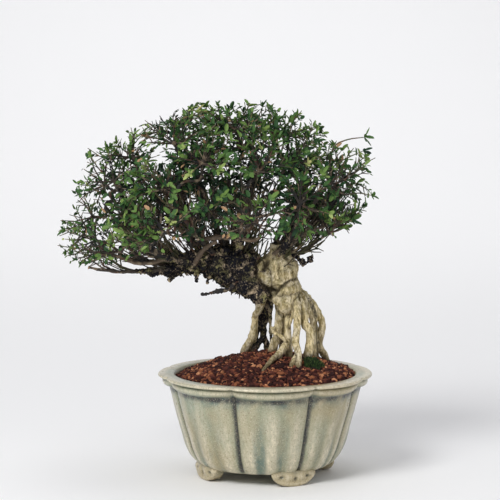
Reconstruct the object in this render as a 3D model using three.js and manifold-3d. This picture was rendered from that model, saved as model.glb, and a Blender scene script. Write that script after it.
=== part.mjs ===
// Winter jasmine bonsai on exposed roots, in a round lobed pot.
// Millimetres, +Z up, and -Y is the front. The model stands on z = 0 under the middle of its own box.
// Inside this file every piece is placed round the pot's axis, and the last lines centre the model.
import * as THREE from "three";
import { mergeVertices } from "three/addons/utils/BufferGeometryUtils.js";
import Module from "manifold-3d";

// Driving dimensions
const CLEARANCE = 0.35;

const POT_RIM_RADIUS = 80;
const POT_RIM_HEIGHT = 77.2;
const POT_LIP_RADIUS = 67.6;
const POT_INNER_RADIUS = 65;
const POT_INNER_LEVEL = 62;
const POT_FLOOR = 14.5;
const POT_UNDERSIDE = 8.5;
const DRAIN_RADIUS = 10;
const LOBE_COUNT = 8;
const SEGMENTS_PER_LOBE = 8;
const FIRST_GROOVE = 25;
const LOBE_ANGLE = 360 / LOBE_COUNT;

const FOOT_COUNT = 4;
const FOOT_RADIUS = 46.7;
const FOOT_THICKNESS = 8;
const FOOT_TOP_WIDTH = 33;
const FOOT_SOLE_WIDTH = 11;
const FOOT_SINK = 3;

const SCREEN_SIDE = 28;
const SCREEN_THICKNESS = 1.2;
const SCREEN_HOLES = 2;
const SCREEN_BAR = 1.6;

const SOIL_EDGE_HEIGHT = 75;
const SOIL_MOUND = 16.5;
const SOIL_POWER = 1.65;
const SOIL_TILT = 0.025;
const SOIL_SEGMENTS = 28;
const SOIL_RINGS = 6;
const GRAIN_RELIEF = 1.1;

const CROWN_CENTRE = new THREE.Vector3(-33, 0, 168.1);
const CROWN_DEPTH = 74;
const CROWN_FLOOR = 176;
const CROWN_FLOOR_DROP = 21;
const CROWN_FLOOR_CLIMB = 0.12;
const TIP_OVERHANG = 0.03;
const SPRAY_COUNT = 41;
const SPUR_CANDIDATES = 1600;
const SPUR_INNER = 0.54;
const SPUR_OUTER = 0.84;
const SPUR_ROOM = 4;
const SPUR_ABOVE_FLOOR = 5;
const TWIG_TIP_RADIUS = 1;
const SPRAY_SEED = 7919;
const SPUR_LENGTH = 5;
const SPUR_RADIUS = 1.7;

// Shoots: stalks of this length, each ending in a broad blade that stands for a leaf of three leaflets
const SHOOTS_PER_SPRAY = 5;
const SHOOT_TRIES = 110;
const SHOOT_LONGEST = 38;
const SHOOT_SHORTEST = 4;
const SHOOT_LENGTH_STEP = 2;
const SHOOT_ROOM = 1.3;
const SHOOT_PULL_OUTWARD = 0.75;
const STALK_FOOT = { along: 0, half: 0.7, rise: 1.15 };
const STALK_END = { half: 0.46, rise: 0.8 };
const LEAF_LENGTH = 12;
const LEAF_WIDTH = 6;
const LEAF_THICKNESS = 1.1;
const LEAF_WIDEST = 0.42;

const MOSS_CENTRE = new THREE.Vector3(35, -21, 0);
const MOSS_HALF_WIDTH = 6.5;
const MOSS_HALF_DEPTH = 10;
const MOSS_TUFTS = 7;

// The crown's outline seen from the front: degrees from +X toward +Z, then millimetres from its centre
const CROWN_OUTLINE = [
  [-20, 30], [-8, 60], [0, 72], [12, 99], [21, 119], [33, 130], [44, 118], [60, 117], [76, 112],
  [90, 108], [110, 111], [128, 111], [149, 124], [159, 115], [172, 120], [183, 115], [191, 100], [200, 60],
];

// Roots that stand clear of the soil, as centre x, y, z and radius
const ROOTS = [
  [[-2, 4, 135.2, 5], [-4.2, 8, 123.3, 3.4], [-6.8, 10, 118.6, 2.8], [-7.4, 12, 112.8, 2.7],
    [-8, 14, 106.7, 3], [-9.2, 15, 101.3, 3.7], [-12.4, 17, 95.9, 3.1], [-15.5, 18, 89.9, 3.2],
    [-18, 19, 76.4, 2.2]],
  [[1, 9, 137.2, 4], [2.6, 13, 124.3, 2.7], [1.9, 17, 117, 2.5], [-0.7, 20, 109.4, 2.5],
    [-0.8, 22, 100.8, 2.6], [1.6, 23, 93.5, 2.7], [3, 25, 76.5, 2.1]],
  [[-0.8, 20, 101.9, 2.2], [-4.6, 19, 96.2, 2.5], [-8.4, 18, 90.4, 2.8], [-10, 18, 78.4, 2.2]],
  [[11, 1, 133.1, 4.6], [10.7, 2, 122.7, 3], [10, 3, 114.1, 2.8], [9.4, 4, 106.7, 3],
    [7, 5, 97.7, 3.2], [4.8, 5, 90.2, 3.5], [3, 6, 76.2, 2.3]],
  [[16, -1, 131.1, 4.2], [16.7, -3, 120.5, 2.7], [16.8, -4, 110, 2.6], [17.3, -5, 100.5, 2.9],
    [18, -6, 92, 3.2], [18, -7, 76, 2.2]],
  [[22, -3, 136.1, 2.4], [20.8, -6, 128, 1.4], [20.2, -7, 121, 1.3], [17.4, -5, 111, 1.4]],
  [[5, 3, 110.1, 1.8], [7.2, -4, 106.7, 1.8], [11.1, -8, 105.6, 1.8], [15.6, -9, 101.4, 1.8],
    [17.6, -7, 94, 2]],
  [[17, -7, 100.5, 3], [12.2, -14, 95.1, 2.9], [8.1, -20, 92.1, 2.4], [3.4, -28, 88.8, 2],
    [-1.6, -36, 83.7, 1.6], [-4, -40, 77.4, 1.2]],
  [[11.8, -15, 94.4, 2], [10.5, -17, 88.8, 1.8], [10, -18, 77.8, 1.5]],
  [[22, -2, 133.1, 4.2], [23.7, -7, 122.5, 2.8], [23.3, -12, 111.7, 2.7], [22.4, -17, 101.8, 2.8],
    [24.2, -22, 94.5, 3], [24, -27, 87.2, 3.3], [23, -29, 75.6, 2.3]],
  [[24, -22, 93.7, 2.5], [20, -28, 88.2, 2.2], [17, -31, 77.6, 1.7]],
  [[22, 0, 137.1, 4.4], [26.6, -1, 128.1, 3.4], [29.4, -2, 120.1, 3.2], [29, -4, 114.4, 3.2],
    [33.2, -5, 109.8, 3.3], [33.5, -6, 100, 3.2], [31.8, -7, 91, 3.4], [31, -7, 76, 2.3]],
  [[26, 4, 136.2, 3.4], [30.8, 7, 129, 2.5], [34.4, 10, 119.3, 2.3], [36.2, 12, 110.3, 2.3],
    [36.7, 14, 97.3, 2.6], [38, 16, 76.4, 2]],
  [[22, 5, 139.2, 4.2], [28.4, 8, 134.2, 3.4], [34.4, 12, 128.3, 3.1], [40.2, 15, 119.8, 3],
    [43.6, 17, 109.9, 3], [42, 18, 99.9, 3.1], [41.6, 19, 93.4, 3.1], [45.6, 21, 86.4, 3.3],
    [49, 22, 74.5, 2.2]],
  [[0, 13, 134.3, 4], [-3, 20, 120.4, 2.9], [-7, 27, 104.5, 2.9], [-9, 32, 90.6, 3.2], [-10, 34, 76.7, 2.1]],
  [[16, 8, 134.2, 4.4], [17, 15, 120.3, 2.9], [16, 22, 104.5, 2.8], [18, 28, 90.6, 3.2], [19, 30, 76.6, 2.1]],
];

// The swollen head over the roots, and the trunk that leans away to the left
const HEAD = [
  [15.4, 0, 125.1, 7.6], [15.7, 0, 134.6, 9.4], [15.6, 0, 139.1, 11.6], [14.6, 0, 143.1, 11],
  [11.4, 0, 150.1, 14.4], [9.8, 0, 157.1, 14.4], [7.4, 0, 164.1, 10], [6.8, 0, 167.6, 5],
];
const TRUNK = [
  [8, 0, 153.1, 11], [-7, 1, 149.7, 17], [-20, 2, 154.5, 16.6], [-32, 3, 158.7, 14.4],
  [-45, 3, 160.5, 9.6], [-58, 2, 158.7, 6.6], [-71, 0, 154.7, 4.6], [-86, -2, 151.1, 2.2],
];
const STUMP = [[7.4, -1, 162.1, 5.4], [7.6, -1, 169.6, 4.6], [7.8, -1, 174.1, 3.4]];
const DEAD_TWIG = [
  [-20, -8, 148, 3.4], [-26.6, -11, 141.3, 2.2], [-34.6, -13, 139.7, 2.6], [-41, -14, 138.2, 1.6],
  [-47.5, -14, 137.3, 1.5],
];
const STUBS = [
  [[-40, -4, 154, 2.6], [-42, -7, 148, 1.6], [-43, -8, 144.6, 1.1]],
  [[-50, -2, 155.1, 2.4], [-51.5, -5, 149.6, 1.5], [-51.5, -6, 146, 1]],
  [[-66, 0, 154.1, 2.4], [-69, -4, 149.6, 1.6], [-70.5, -5, 146.6, 1.1]],
  [[6, -3, 167, 3.2], [16, -6, 168.4, 2.4], [24, -8, 163.4, 1.8], [30, -9, 160, 1.6], [35.6, -9, 167, 1.1]],
];
const KNOBS = [
  [2.6, -9.6, 148.9, 5.6], [9.8, -7.4, 133, 5], [14.8, -8, 127.6, 5], [-14, -11, 143.9, 7],
];

// Limbs that carry the crown
const LIMBS = [
  [[-68, -1, 155.1, 2.1], [-96, -6, 153.4, 1.5], [-116, -9, 154.4, 1.2], [-131, -10, 156.9, 0.9]],
  [[-62, 2, 157.1, 2.2], [-88, 7, 159.2, 1.6], [-108, 9, 162.2, 1.3], [-127, 11, 170.3, 0.9]],
  [[-56, 5, 159.2, 2.1], [-82, 24, 164.5, 1.6], [-102, 38, 175.7, 1.3], [-116, 46, 187.9, 0.9]],
  [[-56, -3, 159.1, 2.1], [-78, -22, 167.7, 1.6], [-97, -36, 179.5, 1.3], [-110, -43, 193.4, 0.9]],
  [[-54, 0, 161.1, 2.2], [-78, -3, 172.1, 1.7], [-98, -5, 189, 1.4], [-114, -6, 209, 1]],
  [[-45, 2, 164.1, 2.3], [-62, 5, 183.2, 1.8], [-79, 5, 204.2, 1.5], [-94, 3, 225.1, 1]],
  [[-38, 8, 164.2, 2.3], [-54, 26, 183.5, 1.7], [-66, 41, 203.8, 1.4], [-74, 49, 222.9, 1]],
  [[-36, -4, 164, 2.3], [-52, -22, 183.7, 1.7], [-62, -38, 201.5, 1.4], [-68, -47, 218.3, 1]],
  [[-29, 2, 166.1, 2.4], [-38, 3, 189.1, 1.9], [-46, 1, 212.1, 1.5], [-54, -2, 236.1, 1]],
  [[-22, 7, 164.2, 2.3], [-24, 26, 186.5, 1.7], [-27, 42, 206.8, 1.4], [-28, 51, 225.9, 1]],
  [[-20, -4, 164, 2.3], [-18, -22, 186.7, 1.7], [-14, -38, 204.5, 1.4], [-13, -49, 221.3, 1]],
  [[-11, 2, 162.1, 2.4], [-13, 3, 188.1, 1.9], [-10, 5, 213.2, 1.5], [-8, 7, 239.2, 1]],
  [[5, 2, 162.1, 2.2], [12, 5, 186.2, 1.7], [22, 7, 208.2, 1.5], [31, 8, 230.2, 1]],
  [[8, 5, 160.2, 2.1], [19, 22, 180.5, 1.6], [31, 37, 198.7, 1.3], [40, 45, 214.8, 0.9]],
  [[8, -5, 160, 2.1], [19, -21, 180.8, 1.6], [29, -35, 196.5, 1.3], [37, -43, 210.4, 0.9]],
  [[11, 0, 163.1, 2], [23, 0, 177.1, 1.6], [41, -1, 194.1, 1.3], [58, -2, 212.1, 0.9]],
  [[17, 2, 160.1, 1.6], [30, 4, 169.2, 1.3], [46, 7, 180.2, 1.1], [59, 8, 193.2, 0.8]],
];

const wasm = await Module();
wasm.setup();

function randomDraw(seed) {
  let state = seed;
  return () => {
    state = (state * 16807) % 2147483647;
    return state / 2147483647;
  };
}

function between(draw, low, high) {
  return low + (high - low) * draw();
}

// A three.js geometry as a solid that can be joined and cut
function solidOf(geometry) {
  const bare = geometry.clone();
  bare.deleteAttribute("normal");
  bare.deleteAttribute("uv");
  const merged = mergeVertices(bare, 1e-4);
  const corners = merged.index.array;
  const triangles = [];
  for (let i = 0; i < corners.length; i += 3) {
    const [a, b, c] = [corners[i], corners[i + 1], corners[i + 2]];
    if (a !== b && b !== c && c !== a) triangles.push(a, b, c);
  }
  const vertProperties = Float32Array.from(merged.attributes.position.array);
  const triVerts = Uint32Array.from(triangles);
  return new wasm.Manifold(new wasm.Mesh({ numProp: 3, vertProperties, triVerts }));
}

function joined(solids) {
  return solids.reduce((whole, next) => whole.add(next));
}

function largestBody(solid) {
  const bodies = solid.decompose();
  return bodies.reduce((best, body) => (body.volume() > best.volume() ? body : best));
}

function piece(name, solid, material) {
  const { vertProperties, triVerts } = solid.getMesh();
  const geometry = new THREE.BufferGeometry();
  geometry.setAttribute("position", new THREE.BufferAttribute(vertProperties, 3));
  geometry.setIndex(new THREE.BufferAttribute(triVerts, 1));
  geometry.computeVertexNormals();
  const mesh = new THREE.Mesh(geometry, material);
  mesh.name = name;
  return mesh;
}

function finish(colour, roughness, metalness = 0) {
  return new THREE.MeshStandardMaterial({ color: colour, roughness, metalness });
}

// The centre line of a limb and its radius at any part t of the way along
function limbLine(points) {
  const curve = new THREE.CatmullRomCurve3(points.map(([x, y, z]) => new THREE.Vector3(x, y, z)));
  const radiusAt = (t) => {
    const place = t * (points.length - 1);
    const before = Math.min(Math.floor(place), points.length - 2);
    return THREE.MathUtils.lerp(points[before][3], points[before + 1][3], place - before);
  };
  return { curve, radiusAt };
}

// A tapered limb: a capped cylinder whose rings are carried along the centre line
function limb(points, { sides = 6, steps = 2 * (points.length - 1), grow = 0 } = {}) {
  const { curve, radiusAt } = limbLine(points);
  const side = new THREE.Vector3(0.31, 0.83, 0.47);
  const rings = [];
  for (let ring = 0; ring <= steps; ring += 1) {
    const t = ring / steps;
    const tangent = curve.getTangent(t);
    side.addScaledVector(tangent, -side.dot(tangent)).normalize();
    const across = tangent.clone().cross(side);
    const radius = radiusAt(t) + grow;
    rings.push({ centre: curve.getPoint(t), tangent, side: side.clone(), across, radius });
  }
  const geometry = new THREE.CylinderGeometry(1, 1, 1, sides, steps);
  const position = geometry.attributes.position;
  const corner = new THREE.Vector3();
  for (let i = 0; i < position.count; i += 1) {
    const ring = Math.round((0.5 - position.getY(i)) * steps);
    const { centre, tangent, side: left, across, radius } = rings[ring];
    const [u, v] = [position.getX(i), position.getZ(i)];
    corner.copy(centre).addScaledVector(left, u * radius).addScaledVector(across, v * radius);
    if (u === 0 && v === 0) corner.addScaledVector(tangent, (ring === 0 ? -0.6 : 0.6) * radius);
    position.setXYZ(i, corner.x, corner.y, corner.z);
  }
  return solidOf(geometry);
}

function knob([x, y, z, radius], grow = 0) {
  const geometry = new THREE.IcosahedronGeometry(radius + grow, 1);
  geometry.translate(x, y, z);
  return solidOf(geometry);
}

// Pot: profile rows of radius, height, depth of the lobe grooves, depth of the ribs in each lobe, scallop
function potProfile() {
  const rim = POT_RIM_RADIUS;
  const top = POT_RIM_HEIGHT;
  const lip = POT_LIP_RADIUS;
  return [
    [DRAIN_RADIUS, POT_UNDERSIDE, 0, 0, 0],
    [44, POT_UNDERSIDE, 1, 0, 0],
    [50, POT_UNDERSIDE + 1.2, 2.2, 0.8, 0],
    [54.4, POT_UNDERSIDE + 4.3, 3, 1.2, 0],
    [60.4, 24, 3.4, 1.2, 0],
    [65.4, 41, 3.3, 0.8, 0],
    [71.4, 65.5, 2.6, 0.3, 0],
    [72.6, 68.4, 2.4, 0, 1.8],
    [76, 70.2, 2.7, 0, 1.7],
    [76.4, 73.6, 2.7, 0, 0.3],
    [rim, 75, 2.2, 0, 0],
    [rim - 1, top, 2.2, 0, 0],
    [lip + 1.4, top - 0.2, 0, 0, 0],
    [lip, top - 1.8, 0, 0, 0],
    [POT_INNER_RADIUS, POT_INNER_LEVEL, 0, 0, 0],
    [56.5, 30, 0, 0, 0],
    [43, POT_FLOOR, 0, 0, 0],
    [DRAIN_RADIUS, POT_FLOOR, 0, 0, 0],
    [DRAIN_RADIUS, POT_UNDERSIDE, 0, 0, 0],
  ];
}

function potBody() {
  const profile = potProfile();
  const segments = LOBE_COUNT * SEGMENTS_PER_LOBE;
  const outline = profile.map(([radius, height]) => new THREE.Vector2(radius, height));
  const geometry = new THREE.LatheGeometry(outline, segments);
  const position = geometry.attributes.position;
  for (let segment = 0; segment <= segments; segment += 1) {
    const degrees = (segment * 360) / segments - FIRST_GROOVE;
    const part = THREE.MathUtils.euclideanModulo(degrees, LOBE_ANGLE) / LOBE_ANGLE;
    const swell = Math.pow(Math.sin(Math.PI * part), 0.7);
    const rib = 1 - Math.abs(Math.sin(3 * Math.PI * part));
    for (let row = 0; row < profile.length; row += 1) {
      const [radius, height, groove, ribDepth, scallop] = profile[row];
      const i = segment * profile.length + row;
      const lobed = radius - groove * (1 - swell) - ribDepth * rib;
      position.setX(i, (position.getX(i) * lobed) / radius);
      position.setY(i, height + scallop * (1 - swell));
      position.setZ(i, (position.getZ(i) * lobed) / radius);
    }
  }
  geometry.rotateX(Math.PI / 2);
  return solidOf(geometry);
}

// One cloud foot: a boat-shaped outline that stands under a groove
function foot(degrees) {
  const top = FOOT_TOP_WIDTH / 2;
  const sole = FOOT_SOLE_WIDTH / 2;
  const outline = new THREE.Shape();
  outline.moveTo(-sole, 0);
  outline.lineTo(sole, 0);
  outline.quadraticCurveTo(sole + 5.5, 3.6, top, POT_UNDERSIDE + 0.6);
  outline.lineTo(top - 1, POT_UNDERSIDE + FOOT_SINK);
  outline.lineTo(1 - top, POT_UNDERSIDE + FOOT_SINK);
  outline.lineTo(-top, POT_UNDERSIDE + 0.6);
  outline.quadraticCurveTo(-sole - 5.5, 3.6, -sole, 0);
  const geometry = new THREE.ExtrudeGeometry(outline, {
    depth: FOOT_THICKNESS,
    bevelEnabled: false,
    curveSegments: 5,
  });
  geometry.translate(0, 0, FOOT_RADIUS - FOOT_THICKNESS / 2);
  geometry.rotateX(Math.PI / 2);
  geometry.rotateZ(THREE.MathUtils.degToRad(degrees));
  return solidOf(geometry);
}

function pot() {
  const feet = [];
  for (let i = 0; i < FOOT_COUNT; i += 1) feet.push(foot(FIRST_GROOVE + (i * 360) / FOOT_COUNT));
  return joined([potBody(), ...feet]);
}

// Plastic screen over the drain hole
function drainScreen() {
  const bars = [];
  for (let i = 0; i <= SCREEN_HOLES; i += 1) {
    const offset = (i / SCREEN_HOLES - 0.5) * (SCREEN_SIDE - SCREEN_BAR);
    const level = POT_FLOOR + CLEARANCE + SCREEN_THICKNESS / 2;
    const across = new THREE.BoxGeometry(SCREEN_SIDE, SCREEN_BAR, SCREEN_THICKNESS);
    const along = new THREE.BoxGeometry(SCREEN_BAR, SCREEN_SIDE, SCREEN_THICKNESS);
    bars.push(solidOf(across.translate(0, offset, level)));
    bars.push(solidOf(along.translate(offset, 0, level)));
  }
  return joined(bars);
}

function moundHeight(radius) {
  return SOIL_EDGE_HEIGHT + SOIL_MOUND * (1 - Math.pow(radius / POT_LIP_RADIUS, SOIL_POWER));
}

function soilHeight(x, y) {
  return moundHeight(Math.hypot(x, y)) + SOIL_TILT * x;
}

// Soil: fills the pot, mounded round the roots, its top raised into grains
function soilMound() {
  const draw = randomDraw(41);
  const edge = POT_LIP_RADIUS - 0.2 - CLEARANCE;
  const recess = SCREEN_SIDE * 0.76;
  const recessTop = POT_FLOOR + SCREEN_THICKNESS + 2.4 * CLEARANCE;
  const profile = [
    [0, recessTop],
    [recess, recessTop],
    [recess, POT_FLOOR + CLEARANCE],
    [42.2, POT_FLOOR + CLEARANCE],
    [55.7, 31],
    [POT_INNER_RADIUS - 0.6, POT_INNER_LEVEL],
    [edge, moundHeight(edge)],
  ];
  const side = profile.length;
  for (let ring = SOIL_RINGS - 1; ring >= 0; ring -= 1) {
    const radius = (edge * Math.sqrt(ring / SOIL_RINGS) * (ring + 1)) / (ring + 1.4);
    profile.push([radius, moundHeight(radius)]);
  }
  const outline = profile.map(([radius, height]) => new THREE.Vector2(radius, height));
  const geometry = new THREE.LatheGeometry(outline, SOIL_SEGMENTS);
  const position = geometry.attributes.position;
  for (let row = side; row < profile.length - 1; row += 1) {
    const lifts = Array.from({ length: SOIL_SEGMENTS }, () => between(draw, -GRAIN_RELIEF, GRAIN_RELIEF));
    for (let segment = 0; segment <= SOIL_SEGMENTS; segment += 1) {
      const i = segment * profile.length + row;
      position.setY(i, position.getY(i) + lifts[segment % SOIL_SEGMENTS]);
    }
  }
  for (let i = 0; i < position.count; i += 1) {
    const onTop = position.getY(i) > SOIL_EDGE_HEIGHT - 1;
    if (onTop) position.setY(i, position.getY(i) + SOIL_TILT * position.getX(i));
  }
  geometry.rotateX(Math.PI / 2);
  return geometry;
}

// Crown space: 0 at its centre and 1 on its outline
function crownReach(point) {
  const dx = point.x - CROWN_CENTRE.x;
  const dz = point.z - CROWN_CENTRE.z;
  const degrees = THREE.MathUtils.radToDeg(Math.atan2(dz, dx));
  const angle = degrees < CROWN_OUTLINE[0][0] ? degrees + 360 : degrees;
  const last = CROWN_OUTLINE.length - 1;
  if (angle > CROWN_OUTLINE[last][0]) return 9;
  const next = Math.max(1, CROWN_OUTLINE.findIndex(([limit]) => angle <= limit));
  const [lowAngle, lowRadius] = CROWN_OUTLINE[next - 1];
  const [highAngle, highRadius] = CROWN_OUTLINE[next];
  const radius = THREE.MathUtils.mapLinear(angle, lowAngle, highAngle, lowRadius, highRadius);
  return Math.hypot(Math.hypot(dx, dz) / radius, point.y / CROWN_DEPTH);
}

// The crown's underside climbs toward its front and back, so that the trunk stays in view
function crownFloor(point) {
  const left = THREE.MathUtils.clamp((-50 - point.x) / 90, 0, 1);
  return CROWN_FLOOR - CROWN_FLOOR_DROP * left + CROWN_FLOOR_CLIMB * Math.abs(point.y);
}

function inCrown(point, overhang) {
  return crownReach(point) <= 1 + overhang && point.z >= crownFloor(point);
}

// Wood as short capsules, to keep the leafy shoots clear of it
function capsulesOf(points) {
  const { curve, radiusAt } = limbLine(points);
  const steps = 3 * (points.length - 1);
  const capsules = [];
  for (let i = 0; i < steps; i += 1) {
    const start = curve.getPoint(i / steps);
    const end = curve.getPoint((i + 1) / steps);
    capsules.push({ line: new THREE.Line3(start, end), radius: radiusAt(i / steps) });
  }
  return capsules;
}

function clearOf(point, capsules, room) {
  const nearest = new THREE.Vector3();
  return capsules.every(({ line, radius }) => {
    line.closestPointToPoint(point, true, nearest);
    return nearest.distanceTo(point) > radius + room;
  });
}

// Spurs: places spread evenly through the crown, each the furthest from those before it
function spurPlaces(capsules) {
  const draw = randomDraw(2027);
  const candidates = [];
  while (candidates.length < SPUR_CANDIDATES) {
    const place = new THREE.Vector3(between(draw, -150, 85), between(draw, -80, 80), between(draw, 156, 281));
    const reach = crownReach(place);
    const room = reach > SPUR_INNER && reach < SPUR_OUTER && place.z > crownFloor(place) + SPUR_ABOVE_FLOOR;
    if (room && clearOf(place, capsules, SPUR_ROOM)) candidates.push(place);
  }
  const chosen = [candidates[0]];
  while (chosen.length < SPRAY_COUNT) {
    let best = candidates[0];
    let widest = 0;
    for (const place of candidates) {
      const gap = Math.min(...chosen.map((other) => other.distanceTo(place)));
      if (gap > widest) {
        widest = gap;
        best = place;
      }
    }
    chosen.push(best);
  }
  return chosen;
}

// A branch from the nearest limb to a spur, leaving along the limb and turning outward
function branchTo(spur) {
  let best = { cost: Infinity };
  for (const points of LIMBS) {
    const { curve, radiusAt } = limbLine(points);
    for (let i = 3; i <= 20; i += 1) {
      const t = i / 20;
      const start = curve.getPoint(t);
      const beyond = start.distanceTo(CROWN_CENTRE) + 8 - spur.distanceTo(CROWN_CENTRE);
      const cost = start.distanceTo(spur) + 1.2 * Math.max(0, beyond);
      if (cost < best.cost) best = { cost, start, tangent: curve.getTangent(t), radius: radiusAt(t) };
    }
  }
  const { start, tangent, radius } = best;
  const length = start.distanceTo(spur);
  const outward = spur.clone().sub(CROWN_CENTRE).normalize();
  const first = start.clone().lerp(spur, 0.3).addScaledVector(tangent, 0.16 * length);
  const second = spur.clone().addScaledVector(outward, -0.3 * length).lerp(start, 0.12);
  const root = THREE.MathUtils.clamp(0.8 * radius, 1.15, 1.9);
  return [
    [...start.toArray(), root],
    [...first.toArray(), 0.9 * root],
    [...second.toArray(), 1.05],
    [...spur.toArray(), TWIG_TIP_RADIUS],
  ];
}

// Everything that grew as one piece, or the room that it needs where grow is more than 0
function woodSolid(branches, grow) {
  const rootSteps = (points) => Math.ceil(1.3 * (points.length - 1));
  return joined([
    limb(HEAD, { sides: 9, steps: 10, grow }),
    limb(TRUNK, { sides: 8, steps: 9, grow }),
    limb(STUMP, { sides: 5, steps: 2, grow }),
    limb(DEAD_TWIG, { sides: 4, steps: 4, grow }),
    ...STUBS.map((points) => limb(points, { sides: 4, steps: 2, grow })),
    ...KNOBS.map((place) => knob(place, grow)),
    ...ROOTS.map((points) => limb(points, { sides: 5, steps: rootSteps(points), grow })),
    ...LIMBS.map((points) => limb(points, { sides: 4, steps: 4, grow })),
    ...branches.map((points) => limb(points, { sides: 3, steps: 3, grow })),
  ]);
}

// A shoot that widens into a leaf: a slim three-sided stalk, then an arched blade that ends in a point
function leafyShoot(hub, end, across) {
  const direction = end.clone().sub(hub).normalize();
  const normal = direction.clone().cross(across).normalize();
  const width = normal.clone().cross(direction);
  const length = hub.distanceTo(end);
  const corner = (along, aside, up) =>
    hub.clone().addScaledVector(direction, along).addScaledVector(width, aside).addScaledVector(normal, up);
  const rings = [
    STALK_FOOT,
    { along: length, ...STALK_END },
    { along: length + LEAF_WIDEST * LEAF_LENGTH, half: LEAF_WIDTH / 2, rise: LEAF_THICKNESS },
  ];
  const corners = rings.flatMap(({ along, half, rise }) => [
    corner(along, -half, -rise / 3),
    corner(along, half, -rise / 3),
    corner(along, 0, (2 * rise) / 3),
  ]);
  corners.push(corner(length + LEAF_LENGTH, 0, 0));
  const tip = corners.length - 1;
  const triangles = [0, 2, 1];
  for (let side = 0; side < 3; side += 1) {
    const next = (side + 1) % 3;
    triangles.push(side, next, 3 + next, side, 3 + next, 3 + side);
    triangles.push(3 + side, 3 + next, 6 + next, 3 + side, 6 + next, 6 + side);
    triangles.push(6 + side, 6 + next, tip);
  }
  const geometry = new THREE.BufferGeometry().setFromPoints(corners);
  geometry.setIndex(triangles);
  return solidOf(geometry);
}

// True where a point keeps to the space nearer to its own spur than to any other
function inOwnCell(point, room, spur, others) {
  return others.every((other) => {
    const apart = other.clone().sub(spur);
    const along = point.clone().sub(spur).dot(apart) / apart.lengthSq();
    return (0.5 - along) * apart.length() > room;
  });
}

// One spray's shoots: of many tries, those whose ends stand furthest apart
function shootEnds(spur, heading, others, capsules, draw) {
  const hub = spur.clone().addScaledVector(heading, CLEARANCE + SPUR_LENGTH / 2);
  const outward = spur.clone().sub(CROWN_CENTRE).normalize();
  const tries = [];
  for (let attempt = 0; attempt < SHOOT_TRIES; attempt += 1) {
    const turn = new THREE.Vector3(between(draw, -1, 1), between(draw, -1, 1), between(draw, -0.8, 1));
    const direction = outward.clone().multiplyScalar(SHOOT_PULL_OUTWARD).add(turn).normalize();
    const isFree = (distance, room) => {
      const point = hub.clone().addScaledVector(direction, distance);
      const inside = inCrown(point, TIP_OVERHANG) && inOwnCell(point, room, spur, others);
      return inside && clearOf(point, capsules, room);
    };
    const hasRoom = (length) =>
      isFree(length + LEAF_LENGTH, CLEARANCE) &&
      isFree(length + LEAF_WIDEST * LEAF_LENGTH, LEAF_WIDTH / 2 + CLEARANCE) &&
      [1, 0.75, 0.5, 0.25].every((along) => isFree(along * length, SHOOT_ROOM));
    let length = SHOOT_LONGEST;
    while (length > SHOOT_SHORTEST && !hasRoom(length)) length -= SHOOT_LENGTH_STEP;
    if (length > SHOOT_SHORTEST) tries.push(hub.clone().addScaledVector(direction, length));
  }
  const ends = [];
  const gapTo = (end) => Math.min(end.distanceTo(hub), ...ends.map((other) => other.distanceTo(end)));
  while (ends.length < SHOOTS_PER_SPRAY && tries.length > 0) {
    tries.sort((a, b) => gapTo(b) - gapTo(a));
    ends.push(tries.shift());
  }
  return { hub, ends };
}

function spray(spur, heading, others, capsules, woodGrown, draw) {
  const { hub, ends } = shootEnds(spur, heading, others, capsules, draw);
  const isClear = (solid) => solid.intersect(woodGrown).isEmpty();
  const spurSide = new THREE.Vector3(0.2, 0.9, 0.3).cross(heading).normalize();
  const bud = new THREE.OctahedronGeometry(1);
  bud.scale(SPUR_LENGTH / 2, SPUR_RADIUS, SPUR_RADIUS);
  const budFrame = new THREE.Matrix4().makeBasis(heading, spurSide, heading.clone().cross(spurSide));
  bud.applyMatrix4(budFrame.setPosition(hub));
  const solids = [solidOf(bud)];
  for (const end of ends) {
    const across = spur.clone().sub(CROWN_CENTRE).cross(end.clone().sub(hub)).normalize();
    const shoot = leafyShoot(hub, end, across);
    if (isClear(shoot)) solids.push(shoot);
  }
  return largestBody(joined(solids));
}

// Moss: a low cushion with upright tufts, lying on the grains at the foot of the front roots
function moss(soilUnder, woodGrown) {
  const draw = randomDraw(77);
  const ground = soilHeight(MOSS_CENTRE.x, MOSS_CENTRE.y);
  const cushion = new THREE.SphereGeometry(1, 8, 4);
  cushion.rotateX(Math.PI / 2);
  cushion.scale(MOSS_HALF_WIDTH, MOSS_HALF_DEPTH, 2.6);
  cushion.translate(MOSS_CENTRE.x, MOSS_CENTRE.y, ground + 0.2);
  const solids = [solidOf(cushion)];
  for (let i = 0; i < MOSS_TUFTS; i += 1) {
    const angle = i * 2.4;
    const reach = 0.88 * Math.sqrt((i + 0.5) / MOSS_TUFTS);
    const tuft = new THREE.ConeGeometry(2.1, between(draw, 5, 7), 4);
    tuft.rotateX(Math.PI / 2);
    const x = MOSS_CENTRE.x + MOSS_HALF_WIDTH * reach * Math.cos(angle);
    const y = MOSS_CENTRE.y + MOSS_HALF_DEPTH * reach * Math.sin(angle);
    tuft.translate(x, y, soilHeight(x, y) + 1.8);
    solids.push(solidOf(tuft));
  }
  return largestBody(joined(solids).subtract(soilUnder).subtract(woodGrown));
}

const model = new THREE.Group();

const glaze = finish(0xb9bfae, 0.38);
const screenPlastic = finish(0x1d1f22, 0.6);
const clay = finish(0x6b3a2a, 0.95);
const mossGreen = finish(0x2f4a1f, 0.95);
const bark = finish(0x9c8a6c, 0.85);
const leafGreen = finish(0x3d5a2c, 0.6);

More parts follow.
